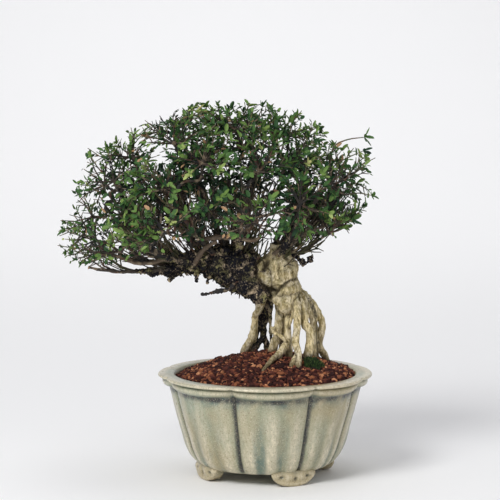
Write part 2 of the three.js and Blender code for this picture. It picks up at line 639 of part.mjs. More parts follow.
// Wood: everything that grew as one piece
const handPlaced = [...ROOTS, TRUNK, STUMP, DEAD_TWIG, ...STUBS, ...LIMBS];
const limbCapsules = [HEAD, ...handPlaced].flatMap(capsulesOf);
const spurs = spurPlaces(limbCapsules);
const branches = spurs.map(branchTo);
const allCapsules = [...limbCapsules, ...branches.flatMap((points) => capsulesOf(points).slice(0, -1))];

const wood = largestBody(woodSolid(branches, 0));
const woodGrown = woodSolid(branches, CLEARANCE);

const mound = soilMound();
const soil = largestBody(solidOf(mound).subtract(woodGrown));
const soilUnder = solidOf(mound.clone().translate(0, 0, CLEARANCE));

model.add(piece("pot", pot(), glaze));
model.add(piece("drain_screen", drainScreen(), screenPlastic));
model.add(piece("soil", soil, clay));
model.add(piece("moss", moss(soilUnder, woodGrown), mossGreen));
model.add(piece("tree_wood", wood, bark));

spurs.forEach((spur, i) => {
  const heading = limbLine(branches[i]).curve.getTangent(1);
  const others = spurs.filter((other) => other !== spur);
  const name = `spray_${String(i + 1).padStart(2, "0")}`;
  const draw = randomDraw(SPRAY_SEED * (i + 1));
  model.add(piece(name, spray(spur, heading, others, allCapsules, woodGrown, draw), leafGreen));
});

// The origin lies at the middle of the box, on the surface that the feet stand on
const box = new THREE.Box3().setFromObject(model);
const middle = box.getCenter(new THREE.Vector3());
model.position.set(-middle.x, -middle.y, -box.min.z);

export default model;
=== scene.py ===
# Looks of the winter jasmine bonsai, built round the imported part.
# Shapes are worked out in millimetres round the pot's axis, and pieces are made in metres.
import math

import bpy
import numpy as np
from mathutils import Matrix, Vector, noise


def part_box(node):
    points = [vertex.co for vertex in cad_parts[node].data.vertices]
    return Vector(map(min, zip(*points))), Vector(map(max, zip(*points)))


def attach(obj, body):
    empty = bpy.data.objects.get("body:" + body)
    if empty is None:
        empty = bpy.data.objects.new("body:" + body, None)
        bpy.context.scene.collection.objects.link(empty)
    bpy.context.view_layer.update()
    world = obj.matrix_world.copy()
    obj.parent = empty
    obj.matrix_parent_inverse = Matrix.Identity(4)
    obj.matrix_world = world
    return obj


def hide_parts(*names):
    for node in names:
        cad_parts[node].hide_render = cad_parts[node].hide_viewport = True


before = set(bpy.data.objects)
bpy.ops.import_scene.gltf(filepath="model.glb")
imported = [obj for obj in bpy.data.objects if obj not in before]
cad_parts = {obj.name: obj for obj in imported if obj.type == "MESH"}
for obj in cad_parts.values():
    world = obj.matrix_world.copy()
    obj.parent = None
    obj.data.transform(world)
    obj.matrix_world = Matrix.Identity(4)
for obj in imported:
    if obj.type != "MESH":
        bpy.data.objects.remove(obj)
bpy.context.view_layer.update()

MM = 0.001
GOLDEN_ANGLE = math.pi * (3 - math.sqrt(5))

# Pot
RIM_RADIUS = 80
RIM_HEIGHT = 77.2
LIP_RADIUS = 67.6
INNER_RADIUS = 65
INNER_LEVEL = 62
POT_FLOOR = 14.5
POT_UNDERSIDE = 8.5
DRAIN_RADIUS = 10
GROOVES = (-155, -110, -71, -19.5, 28, 67.5, 115, 160, 205)
POOLING = np.array([0.5, 0.45, 0.5, 1, 0.55, 0.45, 0.5, 0.6])
POT_SIDES = 432
ROLL_FOOT = 74.4
BAND_MIDDLE = 71.2
BAND_FOOT = 68
FIRST_FOOT = 25
FOOT_COUNT = 4
FOOT_RADIUS = 46.7
FOOT_THICKNESS = 8

# Soil and what lies in it
SOIL_EDGE_HEIGHT = 75
SOIL_MOUND = 16.5
SOIL_POWER = 1.65
SOIL_TILT = 0.025
GRAIN_COUNT = 6400
GRAIN_SIZES = (0.78, 1.85)
SCREEN_SIDE = 28
SCREEN_THICKNESS = 1.2
SCREEN_BARS = 9
CLEARANCE = 0.35
MOSS_CENTRE = (35, -19)
MOSS_HALF_WIDTH = 6.5
MOSS_HALF_DEPTH = 10
MOSS_BLADES = 760
MOSS_TURN = 2.39996
SOIL_SEED = 4211
MOSS_SEED = 77

# Crown
CROWN_CENTRE = np.array([-33.0, 0.0, 168.1])
CROWN_DEPTH = 74
CROWN_FLOOR = 176
TIP_OVERHANG = 0.03
SPRAY_COUNT = 41
SPUR_CANDIDATES = 1600
SPUR_INNER = 0.54
SPUR_OUTER = 0.84
TWIG_TIP_RADIUS = 1
SPUR_SEED = 2027
SPRAY_SEED = 7919
ROOT_SEED = 311
LIMB_SEED = 97
SPUR_LENGTH = 5
SHOOTS_PER_SPRAY = 5
EXTRA_SHOOTS = 9
AIRY_SHOOTS = 6
DRY_SHARE = 0.02
SHOOT_TRIES = 110
LEAF_REACH = 12
LEAF_WIDEST = 0.42
LEAF_ROOM = 3.35
CELL_OVERLAP = 6
BARE_TWIGS = 380
TRUNK_WARTS = 90
SKIN_VOXEL = 0.68
POINTS_AT_ONCE = 4000
THORNS = 75
SHOOT_RADIUS = 0.75
SHOOT_LENGTHS = range(38, 4, -2)
SHOOT_ROOM = 1.3
NODE_SPACING = 3.4
LEAFLET_LENGTH = 5.9
LEAFLET_WIDTH = 2.55

CROWN_OUTLINE = [
    (-20, 30), (-8, 60), (0, 72), (12, 99), (21, 119), (33, 130), (44, 118), (60, 117), (76, 112),
    (90, 108), (110, 111), (128, 111), (149, 124), (159, 115), (172, 120), (183, 115), (191, 100), (200, 60),
]

# Studio, in metres
FLOOR_SIZE = (9, 6)
BACKDROP_HEIGHT = 4
SWEEP = 1.6
LIGHTS = [
    ("key_light", (-0.8, -1.3, 1.35), 0.7, 24), ("fill_light", (1.1, -1.5, 0.6), 1.5, 6),
    ("top_light", (0.2, 0.2, 2.0), 1.2, 7),
]
LIGHTS_AIM = Vector((0.02, 0, 0.14))
CAMERA_PLACE = (-0.0113, -1.576, 0.332)
CAMERA_PITCH = 84.09
CAMERA_LENS = 153.4

# Roots: how pale the bark is, then centre x, y, z and radius along the way
ROOTS = [
    (0.85, [(-2, 4, 135.2, 5), (-4.2, 8, 123.3, 3.4), (-6.8, 10, 118.6, 2.8), (-7.4, 12, 112.8, 2.7),
            (-8, 14, 106.7, 3), (-9.2, 15, 101.3, 3.7), (-12.4, 17, 95.9, 3.1), (-15.5, 18, 89.9, 3.2),
            (-18, 19, 76.4, 2.2)]),
    (0.16, [(1, 9, 137.2, 4), (2.6, 13, 124.3, 2.7), (1.9, 17, 117, 2.5), (-0.7, 20, 109.4, 2.5),
            (-0.8, 22, 100.8, 2.6), (1.6, 23, 93.5, 2.7), (3, 25, 76.5, 2.1)]),
    (0.1, [(-0.8, 20, 101.9, 2.2), (-4.6, 19, 96.2, 2.5), (-8.4, 18, 90.4, 2.8), (-10, 18, 78.4, 2.2)]),
    (1, [(11, 1, 133.1, 4.6), (10.7, 2, 122.7, 3), (10, 3, 114.1, 2.8), (9.4, 4, 106.7, 3),
         (7, 5, 97.7, 3.2), (4.8, 5, 90.2, 3.5), (3, 6, 76.2, 2.3)]),
    (0.95, [(16, -1, 131.1, 4.2), (16.7, -3, 120.5, 2.7), (16.8, -4, 110, 2.6), (17.3, -5, 100.5, 2.9),
            (18, -6, 92, 3.2), (18, -7, 76, 2.2)]),
    (1, [(22, -3, 136.1, 2.4), (20.8, -6, 128, 1.4), (20.2, -7, 121, 1.3), (17.4, -5, 111, 1.4)]),
    (0.95, [(5, 3, 110.1, 1.8), (7.2, -4, 106.7, 1.8), (11.1, -8, 105.6, 1.8), (15.6, -9, 101.4, 1.8),
            (17.6, -7, 94, 2)]),
    (1, [(17, -7, 100.5, 3), (12.2, -14, 95.1, 2.9), (8.1, -20, 92.1, 2.4), (3.4, -28, 88.8, 2),
         (-1.6, -36, 83.7, 1.6), (-4, -40, 77.4, 1.2)]),
    (0.9, [(11.8, -15, 94.4, 2), (10.5, -17, 88.8, 1.8), (10, -18, 77.8, 1.5)]),
    (1, [(22, -2, 133.1, 4.2), (23.7, -7, 122.5, 2.8), (23.3, -12, 111.7, 2.7), (22.4, -17, 101.8, 2.8),
         (24.2, -22, 94.5, 3), (24, -27, 87.2, 3.3), (23, -29, 75.6, 2.3)]),
    (0.9, [(24, -22, 93.7, 2.5), (20, -28, 88.2, 2.2), (17, -31, 77.6, 1.7)]),
    (1, [(22, 0, 137.1, 4.4), (26.6, -1, 128.1, 3.4), (29.4, -2, 120.1, 3.2), (29, -4, 114.4, 3.2),
         (33.2, -5, 109.8, 3.3), (33.5, -6, 100, 3.2), (31.8, -7, 91, 3.4), (31, -7, 76, 2.3)]),
    (0.8, [(26, 4, 136.2, 3.4), (30.8, 7, 129, 2.5), (34.4, 10, 119.3, 2.3), (36.2, 12, 110.3, 2.3),
           (36.7, 14, 97.3, 2.6), (38, 16, 76.4, 2)]),
    (0.95, [(22, 5, 139.2, 4.2), (28.4, 8, 134.2, 3.4), (34.4, 12, 128.3, 3.1), (40.2, 15, 119.8, 3),
            (43.6, 17, 109.9, 3), (42, 18, 99.9, 3.1), (41.6, 19, 93.4, 3.1), (45.6, 21, 86.4, 3.3),
            (49, 22, 74.5, 2.2)]),
    (0.3, [(0, 13, 134.3, 4), (-3, 20, 120.4, 2.9), (-7, 27, 104.5, 2.9), (-9, 32, 90.6, 3.2),
           (-10, 34, 76.7, 2.1)]),
    (0.75, [(16, 8, 134.2, 4.4), (17, 15, 120.3, 2.9), (16, 22, 104.5, 2.8), (18, 28, 90.6, 3.2),
            (19, 30, 76.6, 2.1)]),
]
BACK_ROOTS = [
    (0.5, [(12, 5, 130, 2.8), (13.6, 8, 118, 1.8), (13, 10, 104, 1.7), (12, 11, 90, 1.9),
           (11, 12, 76.5, 1.6)]),
    (0.3, [(33, 8, 130, 2.4), (37, 12, 118, 1.7), (38.5, 15, 102, 1.7), (39, 16, 88, 1.9),
           (39, 18, 76.5, 1.6)]),
    (0.4, [(5, 7, 132, 2.8), (4, 11, 118, 1.7), (4.6, 14, 104, 1.7), (6, 15, 90, 1.8), (7, 16, 76.5, 1.6)]),
]
HEAD = [
    (15.4, 0, 125.1, 7.6), (15.7, 0, 134.6, 9.4), (15.6, 0, 139.1, 11.6), (14.6, 0, 143.1, 11),
    (11.4, 0, 150.1, 14.4), (9.8, 0, 157.1, 14.4), (7.4, 0, 164.1, 10), (6.8, 0, 167.6, 5),
]
TRUNK = [
    (8, 0, 153.1, 11), (-7, 1, 149.7, 17), (-20, 2, 154.5, 16.6), (-32, 3, 158.7, 14.4),
    (-45, 3, 160.5, 9.6), (-58, 2, 158.7, 6.6), (-71, 0, 154.7, 4.6), (-86, -2, 151.1, 2.2),
]
STUMP = [(7.4, -1, 162.1, 5.4), (7.6, -1, 169.6, 4.6), (7.8, -1, 174.1, 3.4)]
DEAD_TWIG = [
    (-20, -8, 148, 3), (-26.6, -11, 141.3, 1.5), (-34.6, -13, 139.7, 1.8), (-41, -14, 138.2, 1),
    (-47.5, -14, 137.3, 1.1),
]
STUBS = [
    [(-40, -4, 154, 2.6), (-42, -7, 148, 1.6), (-43, -8, 144.6, 1.1)],
    [(-50, -2, 155.1, 2.4), (-51.5, -5, 149.6, 1.5), (-51.5, -6, 146, 1)],
    [(-66, 0, 154.1, 2.4), (-69, -4, 149.6, 1.6), (-70.5, -5, 146.6, 1.1)],
    [(6, -3, 167, 3.2), (16, -6, 168.4, 2.4), (24, -8, 163.4, 1.8), (30, -9, 160, 1.6), (35.6, -9, 167, 1.1)],
]
# Knobs: how pale, then centre and radius
KNOBS = [
    (1, (2.6, -9.6, 148.9, 5.6)), (0.8, (9.8, -7.4, 133, 5)), (0.8, (14.8, -8, 127.6, 5)),
    (0.1, (-14, -11, 143.9, 7)), (0.9, (17, -8.5, 154, 6)), (0.9, (9, -9, 159, 6)),
    (0.05, (-22, -11, 160.9, 7)), (0.05, (-34, -8, 159, 7)), (0.05, (-5, -9, 137, 7)),
    (0.9, (12, 9, 152.2, 7)), (0.1, (-14, 13, 156.3, 7)), (0.1, (4.6, -1, 137.5, 5)),
    (0.05, (-3, -4, 133.5, 4)), (0.05, (1.5, -3, 141, 5.5)),
]
# Twigs that cross in front of the trunk
FRONT_TWIGS = [
    [(-47, -13, 177.5, 1.5), (-38, -15, 179.6, 2), (-22, -15, 179.8, 1.7), (-8, -14, 177.6, 1.4),
     (-2, -14, 182.6, 1)],
    [(-52, -6, 160, 2), (-48, -13, 167, 1.8), (-44, -15, 172, 1.6), (-36, -15, 177, 1.3)],
    [(-36, -18, 192.3, 1.1), (-18, -21, 194.6, 1), (5.4, -21, 197.6, 1), (14, -22, 200.6, 0.8)],
    [(-30, -16, 212, 0.9), (-28, -17, 196, 1.1), (-26, -15, 180, 1.3)],
    [(-8, -16, 199, 0.9), (-11, -16, 190, 1), (-14, -15, 178, 1.2)],
    [(6, -6, 166, 1.9), (14, -9, 172, 1.4), (26, -10, 180, 1.2), (42, -10, 187, 1), (62, -9, 191, 0.8)],
    [(-60, -4, 162, 2.4), (-74, -10, 163, 1.9), (-92, -12, 160, 1.5), (-108, -12, 165, 1.1),
     (-122, -13, 172, 0.8)],
]
# Folds in the head's front, seen from the front: depth, half-width, then x and z along the way
FOLDS = [
    (1.7, 1.1, [(24.5, 148.1), (19, 147.1), (14, 143.6), (10, 140.6), (7, 137.1)]),
    (1.1, 0.9, [(5, 136.6), (11, 135.7), (17, 135.5), (23, 136.6), (27, 138.1)]),
    (0.9, 0.9, [(9, 143.5), (15, 142.9), (21, 143.7), (26.5, 145.1)]),
    (2.6, 1.5, [(-3, 164.1), (-6.4, 159.1), (-6.2, 152.1), (-3.6, 146.1), (1, 141.5), (6, 138.7)]),
    (2.8, 1.9, [(0.6, 161.1), (-0.4, 156.1)]),
    (1, 0.9, [(14, 166.1), (18, 160.1), (20.5, 154.1), (21.6, 149.1)]),
    (0.9, 0.8, [(8.6, 164.1), (10.6, 157.1), (10, 151.5), (12, 146.1)]),
    (0.8, 0.8, [(4, 154.7), (8.6, 153.1), (14, 154.5), (19, 152.1)]),
]
LIMBS = [
    [(-68, -1, 155.1, 2.1), (-96, -6, 153.4, 1.5), (-116, -9, 154.4, 1.2), (-131, -10, 156.9, 0.9)],
    [(-62, 2, 157.1, 2.2), (-88, 7, 159.2, 1.6), (-108, 9, 162.2, 1.3), (-127, 11, 170.3, 0.9)],
    [(-56, 5, 159.2, 2.1), (-82, 24, 164.5, 1.6), (-102, 38, 175.7, 1.3), (-116, 46, 187.9, 0.9)],
    [(-56, -3, 159.1, 2.1), (-78, -22, 167.7, 1.6), (-97, -36, 179.5, 1.3), (-110, -43, 193.4, 0.9)],
    [(-54, 0, 161.1, 2.2), (-78, -3, 172.1, 1.7), (-98, -5, 189, 1.4), (-114, -6, 209, 1)],
    [(-45, 2, 164.1, 2.3), (-62, 5, 183.2, 1.8), (-79, 5, 204.2, 1.5), (-94, 3, 225.1, 1)],
    [(-38, 8, 164.2, 2.3), (-54, 26, 183.5, 1.7), (-66, 41, 203.8, 1.4), (-74, 49, 222.9, 1)],
    [(-36, -4, 164, 2.3), (-52, -22, 183.7, 1.7), (-62, -38, 201.5, 1.4), (-68, -47, 218.3, 1)],
    [(-29, 2, 166.1, 2.4), (-38, 3, 189.1, 1.9), (-46, 1, 212.1, 1.5), (-54, -2, 236.1, 1)],
    [(-22, 7, 164.2, 2.3), (-24, 26, 186.5, 1.7), (-27, 42, 206.8, 1.4), (-28, 51, 225.9, 1)],
    [(-20, -4, 164, 2.3), (-18, -22, 186.7, 1.7), (-14, -38, 204.5, 1.4), (-13, -49, 221.3, 1)],
    [(-11, 2, 162.1, 2.4), (-13, 3, 188.1, 1.9), (-10, 5, 213.2, 1.5), (-8, 7, 239.2, 1)],
    [(5, 2, 162.1, 2.2), (12, 5, 186.2, 1.7), (22, 7, 208.2, 1.5), (31, 8, 230.2, 1)],
    [(8, 5, 160.2, 2.1), (19, 22, 180.5, 1.6), (31, 37, 198.7, 1.3), (40, 45, 214.8, 0.9)],
    [(8, -5, 160, 2.1), (19, -21, 180.8, 1.6), (29, -35, 196.5, 1.3), (37, -43, 210.4, 0.9)],
    [(11, 0, 163.1, 2), (23, 0, 177.1, 1.6), (41, -1, 194.1, 1.3), (58, -2, 212.1, 0.9)],
    [(17, 2, 160.1, 1.6), (30, 4, 169.2, 1.3), (46, 7, 180.2, 1.1), (59, 8, 193.2, 0.8)],
]

# Long shoots that stand out of the crown's outline
WHIPS = [
    [(50, -12, 246, 0.6), (60, -14, 251.6, 0.5), (72, -15, 253.4, 0.35)],
    [(58, -20, 212, 0.6), (68, -22, 213, 0.5), (77, -24, 211.5, 0.35)],
    [(50, -16, 232, 0.6), (61, -18, 239, 0.5), (71, -20, 243.5, 0.35)],
    [(38, -24, 200, 0.7), (50, -27, 196.5, 0.55), (63, -29, 193, 0.4)],
    [(-10, -6, 262, 0.5), (-5, -7, 269, 0.4), (-2, -8, 275, 0.3)],
    [(-128, -12, 186, 0.6), (-138, -14, 187.6, 0.45), (-147, -15, 185.5, 0.3)],
    [(-112, -16, 170, 0.7), (-128, -18, 168.8, 0.5), (-141, -18, 169.5, 0.35)],
]

pot_low, pot_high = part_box("pot")
POT_AXIS = np.array([(pot_low[0] + pot_high[0]) / 2, (pot_low[1] + pot_high[1]) / 2, 0])


# Random draws and smooth values

def random_draw(seed):
    state = seed

    def draw(low=0.0, high=1.0):
        nonlocal state
        state = (state * 16807) % 2147483647
        return low + (high - low) * (state / 2147483647)

    return draw


def smooth_step(low, high, value):
    part = np.clip((np.asarray(value, float) - low) / (high - low), 0, 1)
    return part * part * (3 - 2 * part)


def bell(value, middle, width):
    return np.exp(-((value - middle) / width) ** 2)


def scatter(draw, spread=1):
    """A random offset, each of its parts up to a spread either way."""
    return np.array([draw(-spread, spread) for _ in range(3)])


def unit(vector):
    return vector / np.linalg.norm(vector)


def rough(points, scale, octaves=3, squeeze=(1, 1, 1)):
    """Noise from about -1 to 1 at each point, its grain about 1 / scale millimetres."""
    places = np.asarray(points) * np.asarray(squeeze) * scale
    return np.array([noise.fractal(Vector(place), 0.6, 2.1, octaves) for place in places])


# Centre lines

class LimbLine:
    """A limb's centre line, by centripetal Catmull-Rom, with its radius along the way."""

    def __init__(self, rows):
        self.points = np.array([row[:3] for row in rows], float)
        self.radii = [row[3] for row in rows]

    def place(self, part):
        last = len(self.points) - 1
        before = min(int(part * last), last - 1)
        return before, part * last - before

    def point(self, part):
        before, along = self.place(part)
        start, end = self.points[before], self.points[before + 1]
        earlier = self.points[before - 1] if before > 0 else 2 * start - end
        later = self.points[before + 2] if before + 2 < len(self.points) else 2 * end - start
        gaps = [np.sum((b - a) ** 2) ** 0.25 for a, b in ((earlier, start), (start, end), (end, later))]
        leave = (start - earlier) / gaps[0] - (end - earlier) / (gaps[0] + gaps[1]) + (end - start) / gaps[1]
        arrive = (end - start) / gaps[1] - (later - start) / (gaps[1] + gaps[2]) + (later - end) / gaps[2]
        leave, arrive = leave * gaps[1], arrive * gaps[1]
        square = -3 * start + 3 * end - 2 * leave - arrive
        cube = 2 * start - 2 * end + leave + arrive
        return start + leave * along + square * along ** 2 + cube * along ** 3

    def tangent(self, part):
        return unit(self.point(min(1, part + 1e-4)) - self.point(max(0, part - 1e-4)))

    def radius(self, part):
        before, along = self.place(part)
        return self.radii[before] + (self.radii[before + 1] - self.radii[before]) * along

    def rows(self, steps):
        parts = [i / steps for i in range(steps + 1)]
        return [(*self.point(part), self.radius(part)) for part in parts]


def capsules_of(rows):
    """Short straight stretches of a limb, as start, end and radius."""
    line = LimbLine(rows)
    steps = 3 * (len(rows) - 1)
    return [(line.point(i / steps), line.point((i + 1) / steps), line.radius(i / steps))
            for i in range(steps)]


class Capsules:
    def __init__(self, capsules):
        self.starts = np.array([start for start, end, radius in capsules])
        self.spans = np.array([end - start for start, end, radius in capsules])
        self.radii = np.array([radius for start, end, radius in capsules])
        self.squares = np.sum(self.spans ** 2, axis=1)

    def distances(self, points):
        """Distance of each point from each capsule's surface."""
        offsets = np.asarray(points)[:, None, :] - self.starts[None]
        along = np.clip(np.einsum("pck,ck->pc", offsets, self.spans) / self.squares, 0, 1)
        return np.linalg.norm(offsets - along[..., None] * self.spans[None], axis=2) - self.radii

    def clear(self, points, room):
        return np.all(self.distances(points) > room, axis=1)


# Crown: where its spurs stand and how its branches and shoots run

def crown_reach(points):
    """0 at the crown's centre and 1 on its outline."""
    points = np.atleast_2d(points)
    dx, dz = points[:, 0] - CROWN_CENTRE[0], points[:, 2] - CROWN_CENTRE[2]
    degrees = np.degrees(np.arctan2(dz, dx))
    degrees = np.where(degrees < CROWN_OUTLINE[0][0], degrees + 360, degrees)
    angles, radii = zip(*CROWN_OUTLINE)
    reach = np.hypot(np.hypot(dx, dz) / np.interp(degrees, angles, radii), points[:, 1] / CROWN_DEPTH)
    return np.where(degrees > angles[-1], 9, reach)


def crown_floor(points):
    points = np.atleast_2d(points)
    left = np.clip((-50 - points[:, 0]) / 90, 0, 1)
    return CROWN_FLOOR - 21 * left + 0.12 * np.abs(points[:, 1])


def in_crown(points):
    return (crown_reach(points) <= 1 + TIP_OVERHANG) & (np.atleast_2d(points)[:, 2] >= crown_floor(points))


def spur_places(wood):
    draw = random_draw(SPUR_SEED)
    candidates = []
    while len(candidates) < SPUR_CANDIDATES:
        place = np.array([draw(-150, 85), draw(-80, 80), draw(156, 281)])
        reach = crown_reach(place)[0]
        if SPUR_INNER < reach < SPUR_OUTER and place[2] > crown_floor(place)[0] + 5:
            if wood.clear([place], 4)[0]:
                candidates.append(place)
    candidates = np.array(candidates)
    chosen = [candidates[0]]
    nearest = np.linalg.norm(candidates - chosen[0], axis=1)
    while len(chosen) < SPRAY_COUNT:
        chosen.append(candidates[np.argmax(nearest)])
        nearest = np.minimum(nearest, np.linalg.norm(candidates - chosen[-1], axis=1))
    return chosen


def branch_to(spur):
    """A branch from the nearest limb, leaving along the limb and turning outward to its spur."""
    best_cost = math.inf
    for rows in LIMBS:
        line = LimbLine(rows)
        for part in (i / 20 for i in range(3, 21)):
            start = line.point(part)
            beyond = np.linalg.norm(start - CROWN_CENTRE) + 8 - np.linalg.norm(spur - CROWN_CENTRE)
            cost = np.linalg.norm(start - spur) + 1.2 * max(0, beyond)
            if cost < best_cost:
                best_cost = cost
                best = (start, line.tangent(part), line.radius(part))
    start, tangent, radius = best
    length = np.linalg.norm(start - spur)
    outward = unit(spur - CROWN_CENTRE)
    first = start + 0.3 * (spur - start) + 0.16 * length * tangent
    second = spur - 0.3 * length * outward
    second = second + 0.12 * (start - second)
    root = min(max(0.8 * radius, 1.15), 1.9)
    return [(*start, root), (*first, 0.9 * root), (*second, 1.05), (*spur, TWIG_TIP_RADIUS)]


class Spray:
    """One leafy spur: its place, the room it keeps to, and the shoots that fan out from it."""

    def __init__(self, spur, branch, others, wood, number):
        self.spur = spur
        self.heading = LimbLine(branch).tangent(1)
        self.hub = spur + (CLEARANCE + SPUR_LENGTH / 2) * self.heading
        self.outward = unit(spur - CROWN_CENTRE)
        self.apart = np.array(others) - spur
        self.widths = np.linalg.norm(self.apart, axis=1)
        self.wood = wood
        self.draw = random_draw(SPRAY_SEED * number)
        self.ends = []
        self.grow(SHOOTS_PER_SPRAY, 0.75, 0)
        self.grow(AIRY_SHOOTS if spur[0] < -85 or spur[0] > 35 else EXTRA_SHOOTS, 0.9, CELL_OVERLAP)

    def has_room(self, direction, length, overlap):
        distances = np.array([length + LEAF_REACH, length + LEAF_WIDEST * LEAF_REACH,
                              length, 0.75 * length, 0.5 * length, 0.25 * length])
        rooms = np.array([CLEARANCE, LEAF_ROOM] + [SHOOT_ROOM] * 4)
        points = self.hub + distances[:, None] * direction
        along = (points - self.spur) @ self.apart.T / self.widths ** 2
        own = np.all((0.5 - along) * self.widths > rooms[:, None] - overlap, axis=1)
        return (own & in_crown(points)).all() and (self.wood.distances(points) > rooms[:, None]).all()

    def grow(self, count, pull, overlap):
        """Of many tries, keeps those shoots whose ends stand furthest apart."""
        draw = self.draw
        tries = []
        for _ in range(SHOOT_TRIES):
            turn = np.array([draw(-1, 1), draw(-1, 1), draw(-0.8, 1)])
            direction = unit(pull * self.outward + turn)
            for length in SHOOT_LENGTHS:
                if self.has_room(direction, length, overlap):
                    tries.append(self.hub + direction * length)
                    break
        for _ in range(min(count, len(tries))):
            gaps = [min(np.linalg.norm(end - other) for other in [self.hub, *self.ends]) for end in tries]
            self.ends.append(tries.pop(int(np.argmax(gaps))))

    def line(self, end):
        """A shoot's rows, a little bowed, running on into its end leaf."""
        direction = unit(end - self.hub)
        length = np.linalg.norm(end - self.hub) + 0.5 * LEAF_REACH
        bow = np.array([self.draw(-0.08, 0.08), self.draw(-0.08, 0.08), self.draw(-0.1, 0.04)]) * length
        parts = np.array([0, 0.35, 0.7, 1])
        points = self.hub + parts[:, None] * length * direction + (4 * parts * (1 - parts))[:, None] * bow
        return [(*point, SHOOT_RADIUS * (0.95 - 0.5 * part)) for point, part in zip(points, parts)]


# Making pieces

def deselect_all():
    if bpy.context.object and bpy.context.object.mode != "OBJECT":
        bpy.ops.object.mode_set(mode="OBJECT")
    bpy.ops.object.select_all(action="DESELECT")


def choose(piece):
    deselect_all()
    piece.select_set(True)
    bpy.context.view_layer.objects.active = piece


def apply_modifiers(piece):
    choose(piece)
    for modifier in list(piece.modifiers):
        bpy.ops.object.modifier_apply(modifier=modifier.name)


def corners_of(piece):
    flat = np.empty(len(piece.data.vertices) * 3)
    piece.data.vertices.foreach_get("co", flat)
    return flat.reshape(-1, 3)


def fuse(piece, voxel, softness, rounds):
    """Grows overlapping shells into one skin, and softens it."""
    piece.modifiers.new("fuse", "REMESH").voxel_size = voxel
    soften = piece.modifiers.new("soften", "SMOOTH")
    soften.factor = softness
    soften.iterations = rounds
    apply_modifiers(piece)


def coordinates(piece):
    """A mesh's corners, in millimetres round the pot's axis."""
    return (corners_of(piece) - POT_AXIS) / MM


def set_coordinates(piece, points):
    piece.data.vertices.foreach_set("co", (points * MM + POT_AXIS).ravel())
    piece.data.update()


def normals(piece):
    flat = np.empty(len(piece.data.vertices) * 3)
    piece.data.vertex_normals.foreach_get("vector", flat)
    return flat.reshape(-1, 3)


def mark(piece, name, values):
    """Stores a value for each corner, or one for all of them, for the materials to read."""
    attribute = piece.data.attributes.new(name, "FLOAT", "POINT")
    attribute.data.foreach_set("value", np.full(len(piece.data.vertices), values, float))


def join(pieces, name):
    deselect_all()
    for piece in pieces:
        piece.select_set(True)
    bpy.context.view_layer.objects.active = pieces[0]
    if len(pieces) > 1:
        bpy.ops.object.join()
    pieces[0].name = name
    pieces[0].data.name = name
    return pieces[0]


def settle(piece):
    """Puts a piece's object at the origin, with its place in its mesh."""
    choose(piece)
    bpy.ops.object.transform_apply(location=True, rotation=True, scale=True)
    return piece


def edit_all():
    """Opens the active piece in edit mode, with all of it selected."""
    bpy.ops.object.mode_set(mode="EDIT")
    bpy.ops.mesh.select_all(action="SELECT")


def end_edit(outward=False):
    if outward:
        bpy.ops.mesh.select_all(action="SELECT")
        bpy.ops.mesh.normals_make_consistent(inside=False)
    bpy.ops.object.mode_set(mode="OBJECT")


def smooth(piece, degrees=None):
    choose(piece)
    if degrees is None:
        bpy.ops.object.shade_smooth()
    else:
        bpy.ops.object.shade_smooth_by_angle(angle=math.radians(degrees))


def drawn_up(rows, sides, extrude, **circle):
    """A ring round the pot's axis, drawn up from row to row of radius and height, and left in edit mode."""
    deselect_all()
    bpy.ops.mesh.primitive_circle_add(vertices=sides, radius=rows[0][0] * MM,
                                      location=(*POT_AXIS[:2], rows[0][1] * MM), **circle)
    piece = settle(bpy.context.object)
    edit_all()
    for (radius, height, *_), (next_radius, next_height, *_) in zip(rows, rows[1:]):
        extrude(TRANSFORM_OT_translate={"value": (0, 0, (next_height - height) * MM)})
        growth = next_radius / radius
        bpy.ops.transform.resize(value=(growth, growth, 1), center_override=(*POT_AXIS[:2], 0))
    return piece


def seat(piece, material, node):
    """Gives a finished piece its material and ties it to the part."""
    piece.data.materials.clear()
    piece.data.materials.append(material)
    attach(piece, "root")
    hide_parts(node)


def tubes(name, limbs, sides):
    """Round tapered limbs from rows of x, y, z and radius, as one mesh."""
    curve = bpy.data.curves.new(name, "CURVE")
    curve.dimensions = "3D"
    curve.bevel_depth = MM
    curve.bevel_resolution = sides // 2 - 2
    curve.use_fill_caps = True
    for rows in limbs:
        spline = curve.splines.new("POLY")
        spline.points.add(len(rows) - 1)
        for point, (x, y, z, radius) in zip(spline.points, rows):
            point.co = (*(np.array([x, y, z]) * MM + POT_AXIS), 1)
            point.radius = radius
    piece = bpy.data.objects.new(name, curve)
    bpy.context.collection.objects.link(piece)
    choose(piece)
    bpy.ops.object.convert(target="MESH")
    return bpy.context.object


def stamped(name, shape, places):
    """Many copies of one shape in one mesh: each place is an origin, a 3 by 3 frame and a tone."""
    points, faces = shape
    corners = np.concatenate([origin + points @ frame_rows for origin, frame_rows, tone in places])
    shifted = [tuple(i + k * len(points) for i in face) for k in range(len(places)) for face in faces]
    mesh = bpy.data.meshes.new(name)
    mesh.from_pydata((corners * MM + POT_AXIS).tolist(), [], shifted)
    piece = bpy.data.objects.new(name, mesh)
    bpy.context.collection.objects.link(piece)
    mark(piece, "tone", np.repeat([tone for origin, frame_rows, tone in places], len(points)))
    return piece


def shape_of(piece):
    """Takes a small model apart into its corners and faces, and removes it."""
    corners, faces = corners_of(piece), [tuple(face.vertices) for face in piece.data.polygons]
    bpy.data.objects.remove(piece)
    return corners, faces


def frame_along(direction, facing):
    """Rows for a shape whose x runs along a direction and whose z faces outward."""
    across = unit(np.cross(facing, direction))
    return np.array([direction, across, np.cross(direction, across)])


# Materials

